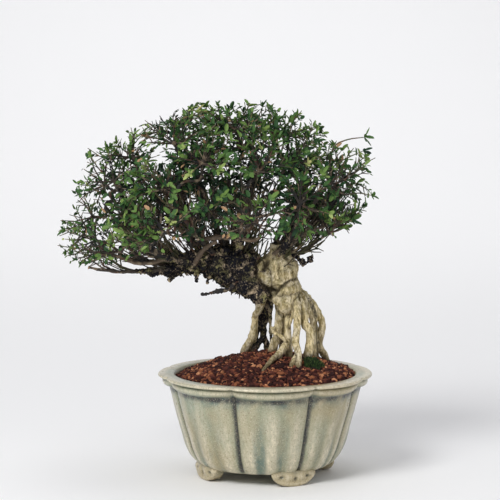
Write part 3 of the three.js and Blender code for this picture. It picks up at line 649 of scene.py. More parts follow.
def plug(tree, socket, value):
    """Links a value to a node's socket, or sets it there."""
    if isinstance(value, bpy.types.NodeSocket):
        tree.links.new(value, socket)
    else:
        socket.default_value = (*value, 1) if socket.type == "RGBA" else value


class Finish:
    """The nodes of a material, or of a node group, and the patterns that the finishes are built from."""

    def __init__(self, name, tree=None):
        if tree is None:
            self.material = bpy.data.materials.new(name)
            self.material.use_nodes = True
            tree = self.material.node_tree
            self.shader = next(entry for entry in tree.nodes if entry.type == "BSDF_PRINCIPLED")
        self.tree = tree

    def node(self, kind, values=None, **settings):
        made = self.tree.nodes.new(kind)
        for key, value in settings.items():
            setattr(made, key, value)
        for key, value in (values or {}).items():
            plug(self.tree, made.inputs[key], value)
        return made

    def give(self, values):
        """Sets the shader's own sockets."""
        for key, value in values.items():
            plug(self.tree, self.shader.inputs[key], value)

    def attribute(self, name):
        return self.node("ShaderNodeAttribute", attribute_name=name).outputs["Fac"]

    def place(self, stretch=(1, 1, 1)):
        source = self.node("ShaderNodeTexCoord").outputs["Object"]
        return self.node("ShaderNodeMapping", {"Vector": source, "Scale": stretch}).outputs["Vector"]

    def grain(self, size, detail=4.0, roughness=0.55, stretch=(1, 1, 1)):
        """Noise whose blotches are about size millimetres wide."""
        values = {"Vector": self.place(stretch), "Scale": 1 / (size * MM),
                  "Detail": detail, "Roughness": roughness}
        return self.node("ShaderNodeTexNoise", values).outputs["Fac"]

    def ramp(self, factor, *stops):
        made = self.node("ShaderNodeValToRGB", {"Fac": factor})
        band = made.color_ramp
        while len(band.elements) < len(stops):
            band.elements.new(0.5)
        for element, (position, colour) in zip(band.elements, stops):
            element.position = position
            element.color = (*colour, 1) if isinstance(colour, tuple) else (colour, colour, colour, 1)
        return made.outputs["Color"]

    def blotches(self, low, high, *pattern, **settings):
        """A grain that goes from 0 to 1 between two of its levels."""
        return self.ramp(self.grain(*pattern, **settings), (low, 0.0), (high, 1.0))

    def sums(self, operation, *values):
        return self.node("ShaderNodeMath", dict(enumerate(values)), operation=operation).outputs[0]

    def times(self, first, second, *plus):
        return self.sums("MULTIPLY_ADD" if plus else "MULTIPLY", first, second, *plus)

    def layers(self, colour, *rows):
        """Lays colours one over the other, each by its mask and, where it has one, its strength."""
        for tint, mask, *strength in rows:
            share = self.times(mask, *strength) if strength else mask
            values = {0: share, 6: colour, 7: tint}
            colour = self.node("ShaderNodeMix", values, data_type="RGBA", blend_type="MIX").outputs[2]
        return colour

    def relief(self, height, strength, depth):
        values = {"Height": height, "Strength": strength, "Distance": depth * MM}
        self.give({"Normal": self.node("ShaderNodeBump", values).outputs["Normal"]})

    def weather(self, group, colour, stain, amount, size):
        """Gives the shader a weathered colour, and returns the height of its pits."""
        values = {"Colour": colour, "Stain": stain, "Amount": amount, "Size": size}
        made = self.node("ShaderNodeGroup", node_tree=group)
        for key, value in values.items():
            plug(self.tree, made.inputs[key], value)
        self.give({"Base Color": made.outputs["Colour"]})
        return made.outputs["Height"]


def weathered_group():
    """Blotches of two sizes over a colour, with fine pits for relief."""
    tree = bpy.data.node_groups.new("Weathered", "ShaderNodeTree")
    for name, kind, value in (("Colour", "Color", (0.5, 0.5, 0.5, 1)), ("Stain", "Color", (0.1, 0.1, 0.1, 1)),
                              ("Amount", "Float", 0.5), ("Size", "Float", 4.0)):
        socket = tree.interface.new_socket(name, in_out="INPUT", socket_type="NodeSocket" + kind)
        socket.default_value = value
    for name, kind in (("Colour", "Color"), ("Height", "Float")):
        tree.interface.new_socket(name, in_out="OUTPUT", socket_type="NodeSocket" + kind)
    given, out = tree.nodes.new("NodeGroupInput").outputs, tree.nodes.new("NodeGroupOutput").inputs
    wear = Finish("Weathered", tree)
    scale = wear.sums("DIVIDE", 1 / MM, given["Size"])
    values = {"Vector": wear.place(), "Scale": scale, "Detail": 5.0, "Roughness": 0.6}
    large = wear.node("ShaderNodeTexNoise", values).outputs["Fac"]
    values = {"Vector": wear.place(), "Scale": wear.times(scale, 5.0), "Detail": 3.0}
    fine = wear.node("ShaderNodeTexNoise", values).outputs["Fac"]
    blotch = wear.ramp(large, (0.38, 0.0), (0.66, 1.0))
    speck = wear.ramp(fine, (0.5, 0.0), (0.7, 1.0))
    amount = wear.times(wear.times(speck, 0.35, blotch), given["Amount"])
    stained = wear.layers(given["Colour"], (given["Stain"], wear.sums("MINIMUM", amount, 1.0)))
    plug(tree, out["Colour"], stained)
    plug(tree, out["Height"], wear.times(fine, 0.4, large))
    return tree


def celadon_glaze(group):
    """Pale grey-green glaze, beige where it runs thin on edges and teal to ink blue where it pools, with
    painted shade under the rim's roll and band and in the feet's pits.
    """
    glaze = Finish("celadon_glaze")
    drawn_down = (1, 1, 0.14)
    streaks = glaze.blotches(0.36, 0.64, 4.5, 5, 0.62, drawn_down)
    fur = glaze.ramp(glaze.grain(1.7, 3, 0.6, (1, 1, 0.1)), (0.46, 0.55), (0.6, 1.0))
    pool = glaze.times(glaze.attribute("pooled_glaze_and_shade"), glaze.times(streaks, 0.4, 0.55))
    colour = glaze.layers(
        (0.27, 0.33, 0.23),
        ((0.42, 0.44, 0.32), streaks),
        ((0.44, 0.37, 0.22), glaze.blotches(0.43, 0.58, 22, 3, stretch=drawn_down), 0.5),
        ((0.42, 0.32, 0.155), glaze.attribute("toasted"), 0.7),
        # Teal where the glaze pools, with painted shade below the rim's band.
        ((0.075, 0.155, 0.14), pool),
        ((0.75, 0.68, 0.51), glaze.times(glaze.attribute("thin"), fur)),
        # Ink blue in the grooves, and painted shade under the rim's roll and band and in the feet's pits.
        ((0.01, 0.017, 0.026), glaze.attribute("groove")),
        ((0.16, 0.11, 0.06), glaze.blotches(0.58, 0.66, 0.9, 2, 0.5), 0.55),
        ((0.74, 0.66, 0.5), glaze.blotches(0.57, 0.67, 1, 2, 0.5, (1.3, 1.3, 1.3)), 0.45))
    glaze.relief(glaze.weather(group, colour, (0.26, 0.24, 0.14), 0.22, 2.6), 0.25, 0.25)
    glaze.give({"Roughness": glaze.ramp(glaze.grain(6, 3), (0.3, 0.26), (0.7, 0.42)),
                "Specular IOR Level": 0.45, "Coat Weight": 0.2, "Coat Roughness": 0.25})
    return glaze.material


def old_bark(group):
    """Cream roots and head, turning to near-black rough bark along the trunk, with painted shade in its
    folds, hollows and seams and painted light on its bumps.
    """
    bark = Finish("old_bark")
    upright = (1, 1, 0.3)
    aged, bump_light_and_lichen = bark.attribute("aged"), bark.attribute("bump_light_and_lichen")
    lines = bark.blotches(0.38, 0.58, 1.8, 4, 0.65, upright)
    blotches = bark.blotches(0.4, 0.64, 7, 4, 0.6)
    veins = bark.ramp(bark.grain(6, 3, 0.6, (1, 1, 0.6)), (0.475, 0.0), (0.5, 1.0), (0.525, 0.0))
    cream = bark.layers((0.97, 0.81, 0.48), ((1.0, 0.88, 0.64), bark.blotches(0.4, 0.6, 11, 3)))
    cream = bark.layers(
        (0.36, 0.28, 0.12),
        (cream, lines),
        ((0.13, 0.1, 0.045), bark.blotches(0.6, 0.68, 1, 3, 0.6, upright), 0.6),
        ((0.3, 0.27, 0.12), bark.times(blotches, bark.times(aged, 0.3, 0.2))),
        ((0.06, 0.042, 0.02), bark.times(veins, bark.times(blotches, aged)), 0.85))
    islands = bark.ramp(bark.grain(6.5, 3, 0.6), (0.51, 0.0), (0.58, 1.3))
    lichen = bark.blotches(0.42, 0.52, 2.6, 4, 0.7)
    # The crust gathers on the bumps.
    lichen = bark.times(lichen, bark.times(islands, bark.times(bump_light_and_lichen, 0.8, 0.4)))
    sparse = bark.ramp(bark.grain(1.5, 2, 0.6), (0.58, 0.0), (0.64, 0.45))
    crust = bark.layers((0.56, 0.44, 0.3), ((0.3, 0.27, 0.12), bark.blotches(0.44, 0.56, 8, 2)))
    dark = bark.layers(
        (0.002, 0.003, 0.008),
        ((0.009, 0.01, 0.019), lines),
        # Painted light: the dark bark is lighter on its bumps, and so darker in its pits.
        ((0.024, 0.021, 0.019), bump_light_and_lichen, 0.6),
        (crust, bark.sums("MINIMUM", bark.sums("MAXIMUM", lichen, sparse), 1.0)))
    ragged = bark.times(bark.sums("SUBTRACT", blotches, 0.5), 0.35, bark.attribute("pale"))
    colour = bark.layers(
        dark,
        (cream, bark.ramp(ragged, (0.3, 0.0), (0.62, 1.0))),
        # Painted shade in the head's folds, in the bark's hollows and in the seams between limbs.
        ((0.035, 0.026, 0.015), bark.attribute("crease_shade"), 0.9),
        # Darker brown on the roots just above the soil.
        ((0.09, 0.06, 0.03), bark.attribute("soil_line_dark"), 0.75))
    height = bark.weather(group, colour, (0.025, 0.02, 0.015), 0.14, 2.4)
    bark.relief(bark.times(lines, 0.6, height), 0.6, 0.7)
    bark.give({"Roughness": 0.82, "Specular IOR Level": 0.15})
    return bark.material


def twig_bark(group):
    """Young bark: nearly black to brown, tan or red-brown in places, and green at the tips."""
    bark = Finish("twig_bark")
    worn = bark.times(bark.times(bark.grain(4, 3), 1.4, -0.2), bark.attribute("worn"))
    warm = bark.layers((0.4, 0.31, 0.2), ((0.16, 0.07, 0.038), bark.blotches(0.45, 0.55, 9, 2)))
    colour = bark.layers(
        (0.01, 0.01, 0.012),
        ((0.06, 0.045, 0.03), bark.blotches(0.4, 0.62, 16, 3)),
        ((0.25, 0.175, 0.11), worn),
        ((0.09, 0.1, 0.03), bark.attribute("tip")),
        (warm, bark.blotches(0.52, 0.58, 6, 3), 0.6))
    bark.relief(bark.weather(group, colour, (0.03, 0.025, 0.02), 0.35, 2.0), 0.5, 0.3)
    bark.give({"Roughness": 0.75})
    return bark.material


def leaf_green():
    """Leaves from deep to fresh yellow-green, each with its own tone, which also carries painted shade deep
    in the crown and painted light near its outline, and a few that are dry.
    """
    leaf = Finish("leaf_green")
    tone = leaf.sums("ADD", leaf.attribute("tone"), leaf.times(leaf.grain(3, 2), 0.16, -0.08))
    colour = leaf.ramp(
        tone, (0.0, (0.005, 0.014, 0.008)), (0.25, (0.014, 0.05, 0.018)), (0.45, (0.048, 0.12, 0.028)),
        (0.7, (0.15, 0.245, 0.055)), (0.93, (0.42, 0.49, 0.17)), (1.0, (0.4, 0.24, 0.13)))
    leaf.relief(leaf.grain(0.8, 2), 0.3, 0.1)
    leaf.give({"Base Color": colour, "Roughness": leaf.ramp(leaf.grain(2, 2), (0.3, 0.45), (0.7, 0.7)),
               "Specular IOR Level": 0.25})
    return leaf.material


def baked_clay(group):
    """Soil grains: maroon and brown baked clay, some bright orange, with dusty faces."""
    clay = Finish("baked_clay")
    colour = clay.ramp(
        clay.attribute("tone"), (0.0, (0.02, 0.006, 0.006)), (0.45, (0.085, 0.024, 0.018)),
        (0.8, (0.2, 0.06, 0.034)), (0.9, (0.38, 0.14, 0.06)), (1.0, (0.74, 0.34, 0.17)))
    clay.relief(clay.weather(group, colour, (0.02, 0.01, 0.01), 0.3, 1.6), 0.7, 0.4)
    clay.give({"Roughness": clay.ramp(clay.grain(2, 2), (0.3, 0.6), (0.7, 0.95)), "Specular IOR Level": 0.2})
    return clay.material


def moss_green(group):
    moss = Finish("moss_green")
    colour = moss.ramp(
        moss.attribute("tone"), (0.0, (0.005, 0.012, 0.004)), (0.5, (0.018, 0.05, 0.01)),
        (0.8, (0.06, 0.13, 0.025)), (1.0, (0.16, 0.24, 0.06)))
    moss.relief(moss.weather(group, colour, (0.01, 0.014, 0.006), 0.4, 1.5), 0.5, 0.3)
    moss.give({"Roughness": 0.9})
    return moss.material


def screen_plastic(group):
    plastic = Finish("screen_plastic")
    plastic.relief(plastic.weather(group, (0.02, 0.022, 0.024), (0.06, 0.04, 0.03), 0.5, 3.0), 0.2, 0.1)
    plastic.give({"Roughness": 0.6})
    return plastic.material


# Pot

def across_lobe(degrees):
    """How far each direction is across its lobe, from 0 to 1, and which lobe that is."""
    turned = np.mod(degrees - GROOVES[0], 360) + GROOVES[0]
    place = np.interp(turned, GROOVES, range(len(GROOVES)))
    lobe = np.minimum(place.astype(int), len(GROOVES) - 2)
    return place - lobe, lobe


def pot_profile():
    """Radius, height, groove depth, rib depth and scallop, from the drain hole out, up and back in."""
    top, rim, lip = RIM_HEIGHT, RIM_RADIUS, LIP_RADIUS
    under = [
        (DRAIN_RADIUS, 0, 0, 0), (26, 0, 0, 0), (38, 0, 0.4, 0), (44, 0, 1, 0.2), (47.4, 0.3, 1.6, 0.5),
        (50, 1.2, 2.2, 0.8), (52.4, 2.6, 2.7, 1.1), (54.4, 4.3, 3, 1.3), (56.4, 6.8, 3.3, 1.4),
    ]
    rows = [(radius, POT_UNDERSIDE + rise, groove, rib, 0) for radius, rise, groove, rib in under]
    for i in range(1, 25):
        height = 15.3 + 50.2 * i / 24
        radius = np.interp(height, [15.3, 20, 24, 30, 36, 41, 48, 57, 65.5],
                           [56.4, 58.8, 60.4, 62.1, 63.8, 65.2, 67.2, 69.5, 71.4])
        rows.append((float(radius), height, 3.5 - 0.9 * i / 24, 1.5 - 1.3 * i / 24, 0))
    rows += [
        (71.6, 66.6, 2.6, 0.1, 0.6), (71.7, 67.4, 2.6, 0, 1.4), (73.2, 67.9, 2.8, 0, 2),
        (75, 68.4, 3.1, 0, 2.2), (76.2, 69.4, 3.4, 0, 2.2), (76.8, 70.8, 3.5, 0, 1.9),
        (76.9, 72.2, 3.5, 0, 1.5), (76.5, 73.2, 3.4, 0, 1.2), (75.8, 73.8, 3.3, 0, 1),
        (75, 74.2, 3.2, 0, 0.8), (75.2, 74.5, 3, 0, 0.6), (77.2, 74.6, 3, 0, 0.5),
        (79, 74.8, 2.9, 0, 0.4), (rim, 75.5, 2.8, 0, 0.3), (rim - 0.1, 76.3, 2.7, 0, 0.2),
        (rim - 0.8, top - 0.2, 2.6, 0, 0.1), (rim - 2, top, 2, 0, 0), (rim - 4.5, top, 1.7, 0, 0),
        (rim - 7.5, top, 1.1, 0, 0), (rim - 10, top, 0.4, 0, 0), (lip + 0.9, top - 0.1, 0.1, 0, 0),
    ]
    inside = [
        (lip + 0.1, top - 0.8), (lip - 0.6, 72), (INNER_RADIUS, INNER_LEVEL), (61, 44), (56.5, 30),
        (51, 21), (46, 15.6), (43, POT_FLOOR), (26, POT_FLOOR), (DRAIN_RADIUS, POT_FLOOR),
    ]
    return rows + [(radius, height, 0, 0, 0) for radius, height in inside]


def pot_wall():
    """The thrown and fluted bowl: a ring drawn up row by row, then pressed into lobes and ribs."""
    profile = pot_profile()
    piece = drawn_up(profile, POT_SIDES, bpy.ops.mesh.extrude_edges_move)
    end_edit()
    choose(piece)
    bpy.ops.object.mode_set(mode="EDIT")
    bpy.ops.mesh.select_all(action="DESELECT")
    bpy.ops.mesh.select_non_manifold()
    bpy.ops.mesh.bridge_edge_loops()
    end_edit(outward=True)
    return shaped_wall(piece, profile)


def shaped_wall(piece, profile):
    """Presses the drawn ring into lobes and ribs, and marks its glaze."""
    points = coordinates(piece)
    radii = np.hypot(points[:, 0], points[:, 1])
    degrees = np.degrees(np.arctan2(points[:, 0], -points[:, 1]))
    part, lobe = across_lobe(degrees)
    table = np.array(profile)
    row = np.argmin(np.hypot(radii[:, None] - table[:, 0], points[:, 2, None] - table[:, 1]), axis=1)
    radius, height, groove, rib, scallop = table[row].T
    swell = np.sin(np.pi * part) ** 0.62
    fluting = (0.5 + 0.5 * np.cos(6 * np.pi * part)) ** 1.6
    valley = np.where((part > 0.17) & (part < 0.83), fluting, 0)
    near = np.minimum(part, 1 - part) * np.radians(np.diff(GROOVES))[lobe] * radius
    wobble = rough(points, 0.03, 2) * smooth_step(20, 50, radii) * 0.5
    lobed = radius - groove * (1 - swell) - 1.7 * rib * valley * POOLING[lobe] + wobble
    lobed -= 1.9 * bell(near, 0, 1.4) * (groove > 2.2)
    points[:, :2] *= (lobed / radii)[:, None]
    points[:, 2] = height + scallop * (1 - swell) + 0.3 * wobble
    set_coordinates(piece, points)
    glaze_marks(piece, points, degrees, part, near, valley * POOLING[lobe], row, radius, height)
    smooth(piece)
    return piece


def glaze_marks(piece, points, degrees, part, near, channel, row, radius, height):
    """Where the glaze pools, runs thin, leaves a dark line or turned brown in the kiln, and the painted shade
    under the rim's roll and band.
    """
    def drips(wide, tall, shift, octaves):
        return rough(np.stack([degrees / wide, height / tall, radius * 0 + shift], axis=1), 1, octaves)

    outside = (row > 3) & (row < 51)
    smudge = rough(points, 0.09, 3)
    streak = drips(9, 40, 0, 3)
    lower = smooth_step(66, 18, height)
    # Painted shade in the gap under the rim's roll.
    under_roll = bell(height, ROLL_FOOT, 0.4) * (radius < 77.8) * (0.2 + 0.9 * smudge)
    # Painted shade under the rim's band.
    under_band = bell(height, BAND_FOOT - 1.7, 1.7) * (0.85 + 0.7 * smudge)
    line = 1.1 * np.exp(-(near / (1.6 + 0.4 * smudge)) ** 4) * smooth_step(9, 11, height) * (height < 67.5)
    # The dark mark: ink-blue glaze lines in the grooves, plus the painted shade under the roll and the band.
    mark(piece, "groove", np.clip(line + under_roll + under_band, 0, 1) * outside)
    pooled_glaze_and_shade = channel * lower * (1 + 0.8 * streak)
    pooled_glaze_and_shade += bell(near, 0, 3) * (0.4 + 0.6 * streak)
    # Darker teal along the band's top under the roll and along the band's foot.
    pooled_glaze_and_shade += 0.65 * (bell(height, ROLL_FOOT - 0.7, 0.6) + bell(height, BAND_FOOT, 0.9))
    # Painted shade: darker teal on the wall just below the rim's band.
    pooled_glaze_and_shade += smooth_step(57, 66, height) * (height < BAND_FOOT) * (0.55 + 0.9 * smudge)
    pooled_glaze_and_shade += 0.45 * smooth_step(0.1, 0.5, drips(5, 30, 7, 2)) * lower
    mark(piece, "pooled_glaze_and_shade", np.clip(pooled_glaze_and_shade, 0, 1) * outside)
    ridge = np.abs(np.sin(3 * np.pi * part)) ** 2.4 * (height < 66)
    ridge *= (0.3 + 0.7 * lower) * (0.9 + 0.9 * streak)
    edges = bell(height, BAND_MIDDLE, 1.6) * 0.7 + (radius > 69) * (height > 75)
    mark(piece, "thin", np.clip(ridge + edges, 0, 1) * outside)
    toasted = 0.3 + 0.9 * rough(points, 0.022, 2) + 0.45 * smooth_step(22, 55, points[:, 0])
    mark(piece, "toasted", np.clip(toasted, 0, 1))


def foot_outline():
    """A boat-shaped outline with a round bottom, as x and z, counted from the foot's middle."""
    turns = [i * math.pi / 24 for i in range(13)]
    right = [(2 + 14.4 * math.sin(t), (POT_UNDERSIDE + 0.8) * (1 - math.cos(t))) for t in turns]
    right += [(16.4, POT_UNDERSIDE + 2.2), (15.2, POT_UNDERSIDE + 3.2)]
    return right + [(-x, z) for x, z in reversed(right)]


def cloud_foot(turn):
    """One foot: a boat-shaped slab with small cloud heads pressed into its face, bent round the pot."""
    outline = foot_outline()
    deselect_all()
    bpy.ops.mesh.primitive_circle_add(vertices=len(outline), radius=1, fill_type="NGON",
                                      rotation=(math.pi / 2, 0, 0))
    foot = settle(bpy.context.object)
    for vertex, (x, z) in zip(foot.data.vertices, outline):
        vertex.co = (x, -FOOT_THICKNESS / 2 - 0.3, z)
    edit_all()
    bpy.ops.mesh.extrude_region_move(TRANSFORM_OT_translate={"value": (0, FOOT_THICKNESS + 0.3, 0)})
    end_edit(outward=True)
    fuse(foot, 0.5, 0.6, 6)
    points = corners_of(foot)
    x, z = points[:, 0].copy(), points[:, 2].copy()
    front = smooth_step(0.4, -FOOT_THICKNESS / 2, points[:, 1])
    keel = np.interp(np.abs(x), [px for px, pz in outline[:13]], [pz for px, pz in outline[:13]])
    press = 0.9 * bell(z - keel, 1.6, 1.3)
    pits = np.zeros(len(points))
    for pit_x, pit_z, wide, tall in ((-9.6, 7.2, 1.6, 0.9), (0.4, 5.6, 1.1, 1.3), (9.7, 7.2, 1.6, 0.9)):
        hollow = bell(x, pit_x, wide) * bell(z, pit_z, tall)
        pits = np.maximum(pits, hollow)
        press -= 1.6 * hollow
    for bud_x, bud_z, wide, tall in ((-4.6, 7, 3.8, 3), (5.2, 7, 3.8, 3),
                                     (-13, 8.4, 3, 2.2), (13, 8.4, 3, 2.2)):
        press += 1.5 * bell(x, bud_x, wide) * bell(z, bud_z, tall)
    points[:, 1] -= press * front
    points[:, 2] = np.where(z < 0.4, np.maximum(z, 0), z)
    points[:, 2] -= points[:, 2].min()
    lean = Matrix.Rotation(math.radians(turn), 3, "Z")
    around, reach = points[:, 0] / FOOT_RADIUS, FOOT_RADIUS - points[:, 1]
    bent = np.stack([reach * np.sin(around), -reach * np.cos(around), points[:, 2]], axis=1)
    set_coordinates(foot, bent @ np.array(lean).T)
    # Painted shade in the pits pressed into the foot's face.
    mark(foot, "groove", pits * front * 0.8)
    mark(foot, "pooled_glaze_and_shade", np.clip(0.5 - 0.6 * press * front, 0, 0.7) * smooth_step(2, 9, points[:, 2]))
    mark(foot, "thin", np.clip(0.1 + 0.4 * press * front, 0, 1))
    mark(foot, "toasted", 1.2)
    smooth(foot)
    return foot


def make_pot(glaze):
    """The bowl with its four feet, glazed all over."""
    feet = [cloud_foot(FIRST_FOOT + i * 360 / FOOT_COUNT) for i in range(FOOT_COUNT)]
    pot = join([pot_wall(), *feet], "glazed_pot")
    seat(pot, glaze, "pot")


# Soil, screen and moss

def soil_height(x, y):
    return SOIL_EDGE_HEIGHT + SOIL_MOUND * (1 - (np.hypot(x, y) / LIP_RADIUS) ** SOIL_POWER) + SOIL_TILT * x


def soil_bed():
    """The packed soil under the loose grains, filling the pot down to its floor, in the darkest tone as
    painted shade between the grains.
    """
    edge = LIP_RADIUS - 0.2 - CLEARANCE
    rows = [(SCREEN_SIDE * 0.76, POT_FLOOR + CLEARANCE), (42.2, POT_FLOOR + CLEARANCE), (55.7, 31),
            (INNER_RADIUS - 0.6, INNER_LEVEL), (edge, soil_height(edge, 0) - 1.6 - SOIL_TILT * edge)]
    rows += [(edge * part, soil_height(edge * part, 0) - 1.2 - SOIL_TILT * edge * part) for part in
             (0.97, 0.94, 0.9, 0.86, 0.8, 0.73, 0.66, 0.58, 0.5, 0.42, 0.34, 0.26, 0.18, 0.1, 0.04)]
    bed = drawn_up(rows, 96, bpy.ops.mesh.extrude_region_move, fill_type="NGON")
    end_edit(outward=True)
    points = coordinates(bed)
    points[:, 2] += (0.8 * rough(points, 0.35, 2) + SOIL_TILT * points[:, 0]) * (points[:, 2] > 68)
    set_coordinates(bed, points)
    # The darkest tone: painted shade in the gaps between the grains.
    mark(bed, "tone", 0.03)
    return bed


def grain_shape():
    """One baked grain: a blunt many-sided crumb."""
    deselect_all()
    bpy.ops.mesh.primitive_ico_sphere_add(subdivisions=1, radius=1)
    edit_all()
    bpy.ops.transform.resize(value=(1.1, 0.95, 0.85))
    end_edit()
    return shape_of(bpy.context.object)


def soil_grains(roots):
    points, faces = grain_shape()
    draw = random_draw(SOIL_SEED)
    places = []
    edge = LIP_RADIUS - 1.3
    for i in range(GRAIN_COUNT):
        reach = edge * math.sqrt((i + 0.5) / GRAIN_COUNT)
        angle = i * GOLDEN_ANGLE
        x = reach * math.cos(angle) + draw(-0.7, 0.7)
        y = reach * math.sin(angle) + draw(-0.7, 0.7)
        size = draw(*GRAIN_SIZES) * (1.45 if draw() < 0.14 else 1)
        z = soil_height(x, y) + draw(-1.3, 0.3) - 0.6 * float(smooth_step(60, edge, reach))
        if np.hypot(x, y) > edge or not roots.clear([(x, y, z)], 0.7 * size)[0]:
            continue
        spin = Matrix.Rotation(draw(0, 6.28), 3, "Z") @ Matrix.Rotation(draw(0, 6.28), 3, "X")
        stretch = np.diag([size * draw(0.8, 1.2), size * draw(0.75, 1.1), size * draw(0.65, 1)])
        tone = 0.86 * draw() ** 1.4 if draw() < 0.85 else draw(0.84, 1)
        places.append((np.array([x, y, z]), stretch @ np.array(spin), tone))
    grains = stamped("soil_grains", (points, faces), places)
    corners = coordinates(grains)
    noise.seed_set(SOIL_SEED)
    corners += 0.5 * np.array([noise.noise_vector(Vector(corner * 0.8)) for corner in corners])
    set_coordinates(grains, corners)
    return grains


def make_soil(clay, roots):
    soil = join([soil_bed(), soil_grains(roots)], "clay_soil")
    smooth(soil, 28)
    seat(soil, clay, "soil")


def make_screen(plastic):
    """The drain screen: a square sheet of thin crossing bars."""
    bars = []
    deselect_all()
    level = POT_FLOOR + CLEARANCE + SCREEN_THICKNESS / 2
    for i in range(SCREEN_BARS + 1):
        offset = (i / SCREEN_BARS - 0.5) * (SCREEN_SIDE - 1)
        for size, shift in (((SCREEN_SIDE, 1, 0.9), (0, offset)), ((1, SCREEN_SIDE, 1.2), (offset, 0))):
            place = POT_AXIS + np.array([*shift, level]) * MM
            bpy.ops.mesh.primitive_cube_add(size=1, location=place)
            bar = bpy.context.object
            bar.scale = [side * MM for side in size]
            bars.append(bar)
    screen = settle(join(bars, "drain_mesh"))
    soften = screen.modifiers.new("soften", "BEVEL")
    soften.width = 0.2 * MM
    soften.segments = 1
    apply_modifiers(screen)
    seat(screen, plastic, "drain_screen")


def moss_blade_shape():
    deselect_all()
    bpy.ops.mesh.primitive_cone_add(vertices=3, radius1=0.5, radius2=0.12, depth=1, location=(0, 0, 0.5))
    blade = settle(bpy.context.object)
    edit_all()
    bpy.ops.mesh.bisect(plane_co=(0, 0, 0.45), plane_no=(0, 0, 1))
    bpy.ops.transform.resize(value=(1.5, 1.5, 1))
    end_edit()
    return shape_of(blade)


def make_moss(green, roots):
    """A low green cushion hidden under upright moss stems."""
    draw = random_draw(MOSS_SEED)
    x0, y0 = MOSS_CENTRE
    deselect_all()
    bpy.ops.mesh.primitive_ico_sphere_add(subdivisions=4, radius=1)
    cushion = bpy.context.object
    points = corners_of(cushion) * np.array([MOSS_HALF_WIDTH, MOSS_HALF_DEPTH, 2.2]) + np.array([x0, y0, 0])
    points[:, 2] += soil_height(points[:, 0], points[:, 1]) + 0.4 + 0.8 * rough(points, 0.4, 3)
    set_coordinates(cushion, points)
    mark(cushion, "tone", 0.15)
    places = []
    for i in range(MOSS_BLADES):
        angle = i * MOSS_TURN
        ragged = 1.08 + 0.5 * noise.noise(Vector((2 * math.cos(angle), 2 * math.sin(angle), 0.5)))
        reach = ragged * math.sqrt((i + 0.5) / MOSS_BLADES)
        x = x0 + MOSS_HALF_WIDTH * reach * math.cos(angle) + draw(-0.4, 0.4)
        y = y0 + MOSS_HALF_DEPTH * reach * math.sin(angle) + draw(-0.4, 0.4)
        rise = 2.4 * math.sqrt(max(0, 1 - reach ** 2))
        base = np.array([x, y, soil_height(x, y) + rise - 0.6])
        height = draw(1.8, 4.4) * (1.1 - 0.35 * reach)
        if not roots.clear([base], 0.4)[0]:
            continue
        lean = unit(np.array([draw(-0.5, 0.5) + 0.5 * (x - x0) / 9, draw(-0.5, 0.5) + 0.5 * (y - y0) / 9, 1]))
        side = unit(np.cross(lean, [0.3, 1, 0]))
        rows = np.array([side * 0.9, np.cross(lean, side) * 0.9, lean * height])
        places.append((base, rows, draw(0.1, 1)))
    moss = join([cushion, stamped("moss_blades", moss_blade_shape(), places)], "moss_cushion")
    smooth(moss, 60)
    seat(moss, green, "moss")


# Wood

def strands_of(rows, count, draw):
    """Thinner cords that wind along a root, so that its surface is fluted."""
    line = LimbLine(rows)
    steps = 4 * (len(rows) - 1)
    side = np.array([0.31, 0.83, 0.47])
    phases = [draw(0, 2 * math.pi) for _ in range(count)]
    twist = draw(-2.2, 2.2)
    strands = [[] for _ in range(count)]
    for i in range(steps + 1):
        part = i / steps
        tangent = line.tangent(part)
        side = unit(side - np.dot(side, tangent) * tangent)
        across = np.cross(tangent, side)
        radius = line.radius(part)
        for strand, phase in zip(strands, phases):
            angle = phase + twist * part
            centre = line.point(part) + 0.5 * radius * (math.cos(angle) * side + math.sin(angle) * across)
            strand.append((*centre, radius * 0.56 * draw(0.85, 1.15)))
    return strands


def wood_tones():
    """Every thick limb with how pale its bark is."""
    tones = ROOTS + BACK_ROOTS
    tones += [(0.95, HEAD), (0, TRUNK), (0.05, STUMP), (0, DEAD_TWIG)]
    tones += [(0, rows) for rows in STUBS]
    tones += [(0.12, LimbLine(rows).rows(6)[:3]) for rows in LIMBS]
    return tones


def knob_piece(place):
    x, y, z, radius = place
    bpy.ops.mesh.primitive_ico_sphere_add(subdivisions=3, radius=radius * MM,
                                          location=np.array([x, y, z]) * MM + POT_AXIS)
    bpy.context.object.scale = (1, 0.8, 1.05)
    return settle(bpy.context.object)


def trunk_warts(draw):
    """Small lumps all over the old trunk."""
    line = LimbLine(TRUNK)
    warts = []
    for i in range(TRUNK_WARTS):
        part = draw(0.08, 0.8)
        tangent = line.tangent(part)
        around = unit(np.cross(tangent, scatter(draw)))
        place = line.point(part) + around * line.radius(part) * draw(0.86, 0.98)
        warts.append((0, (*place, draw(1.4, 3.4))))
    return warts


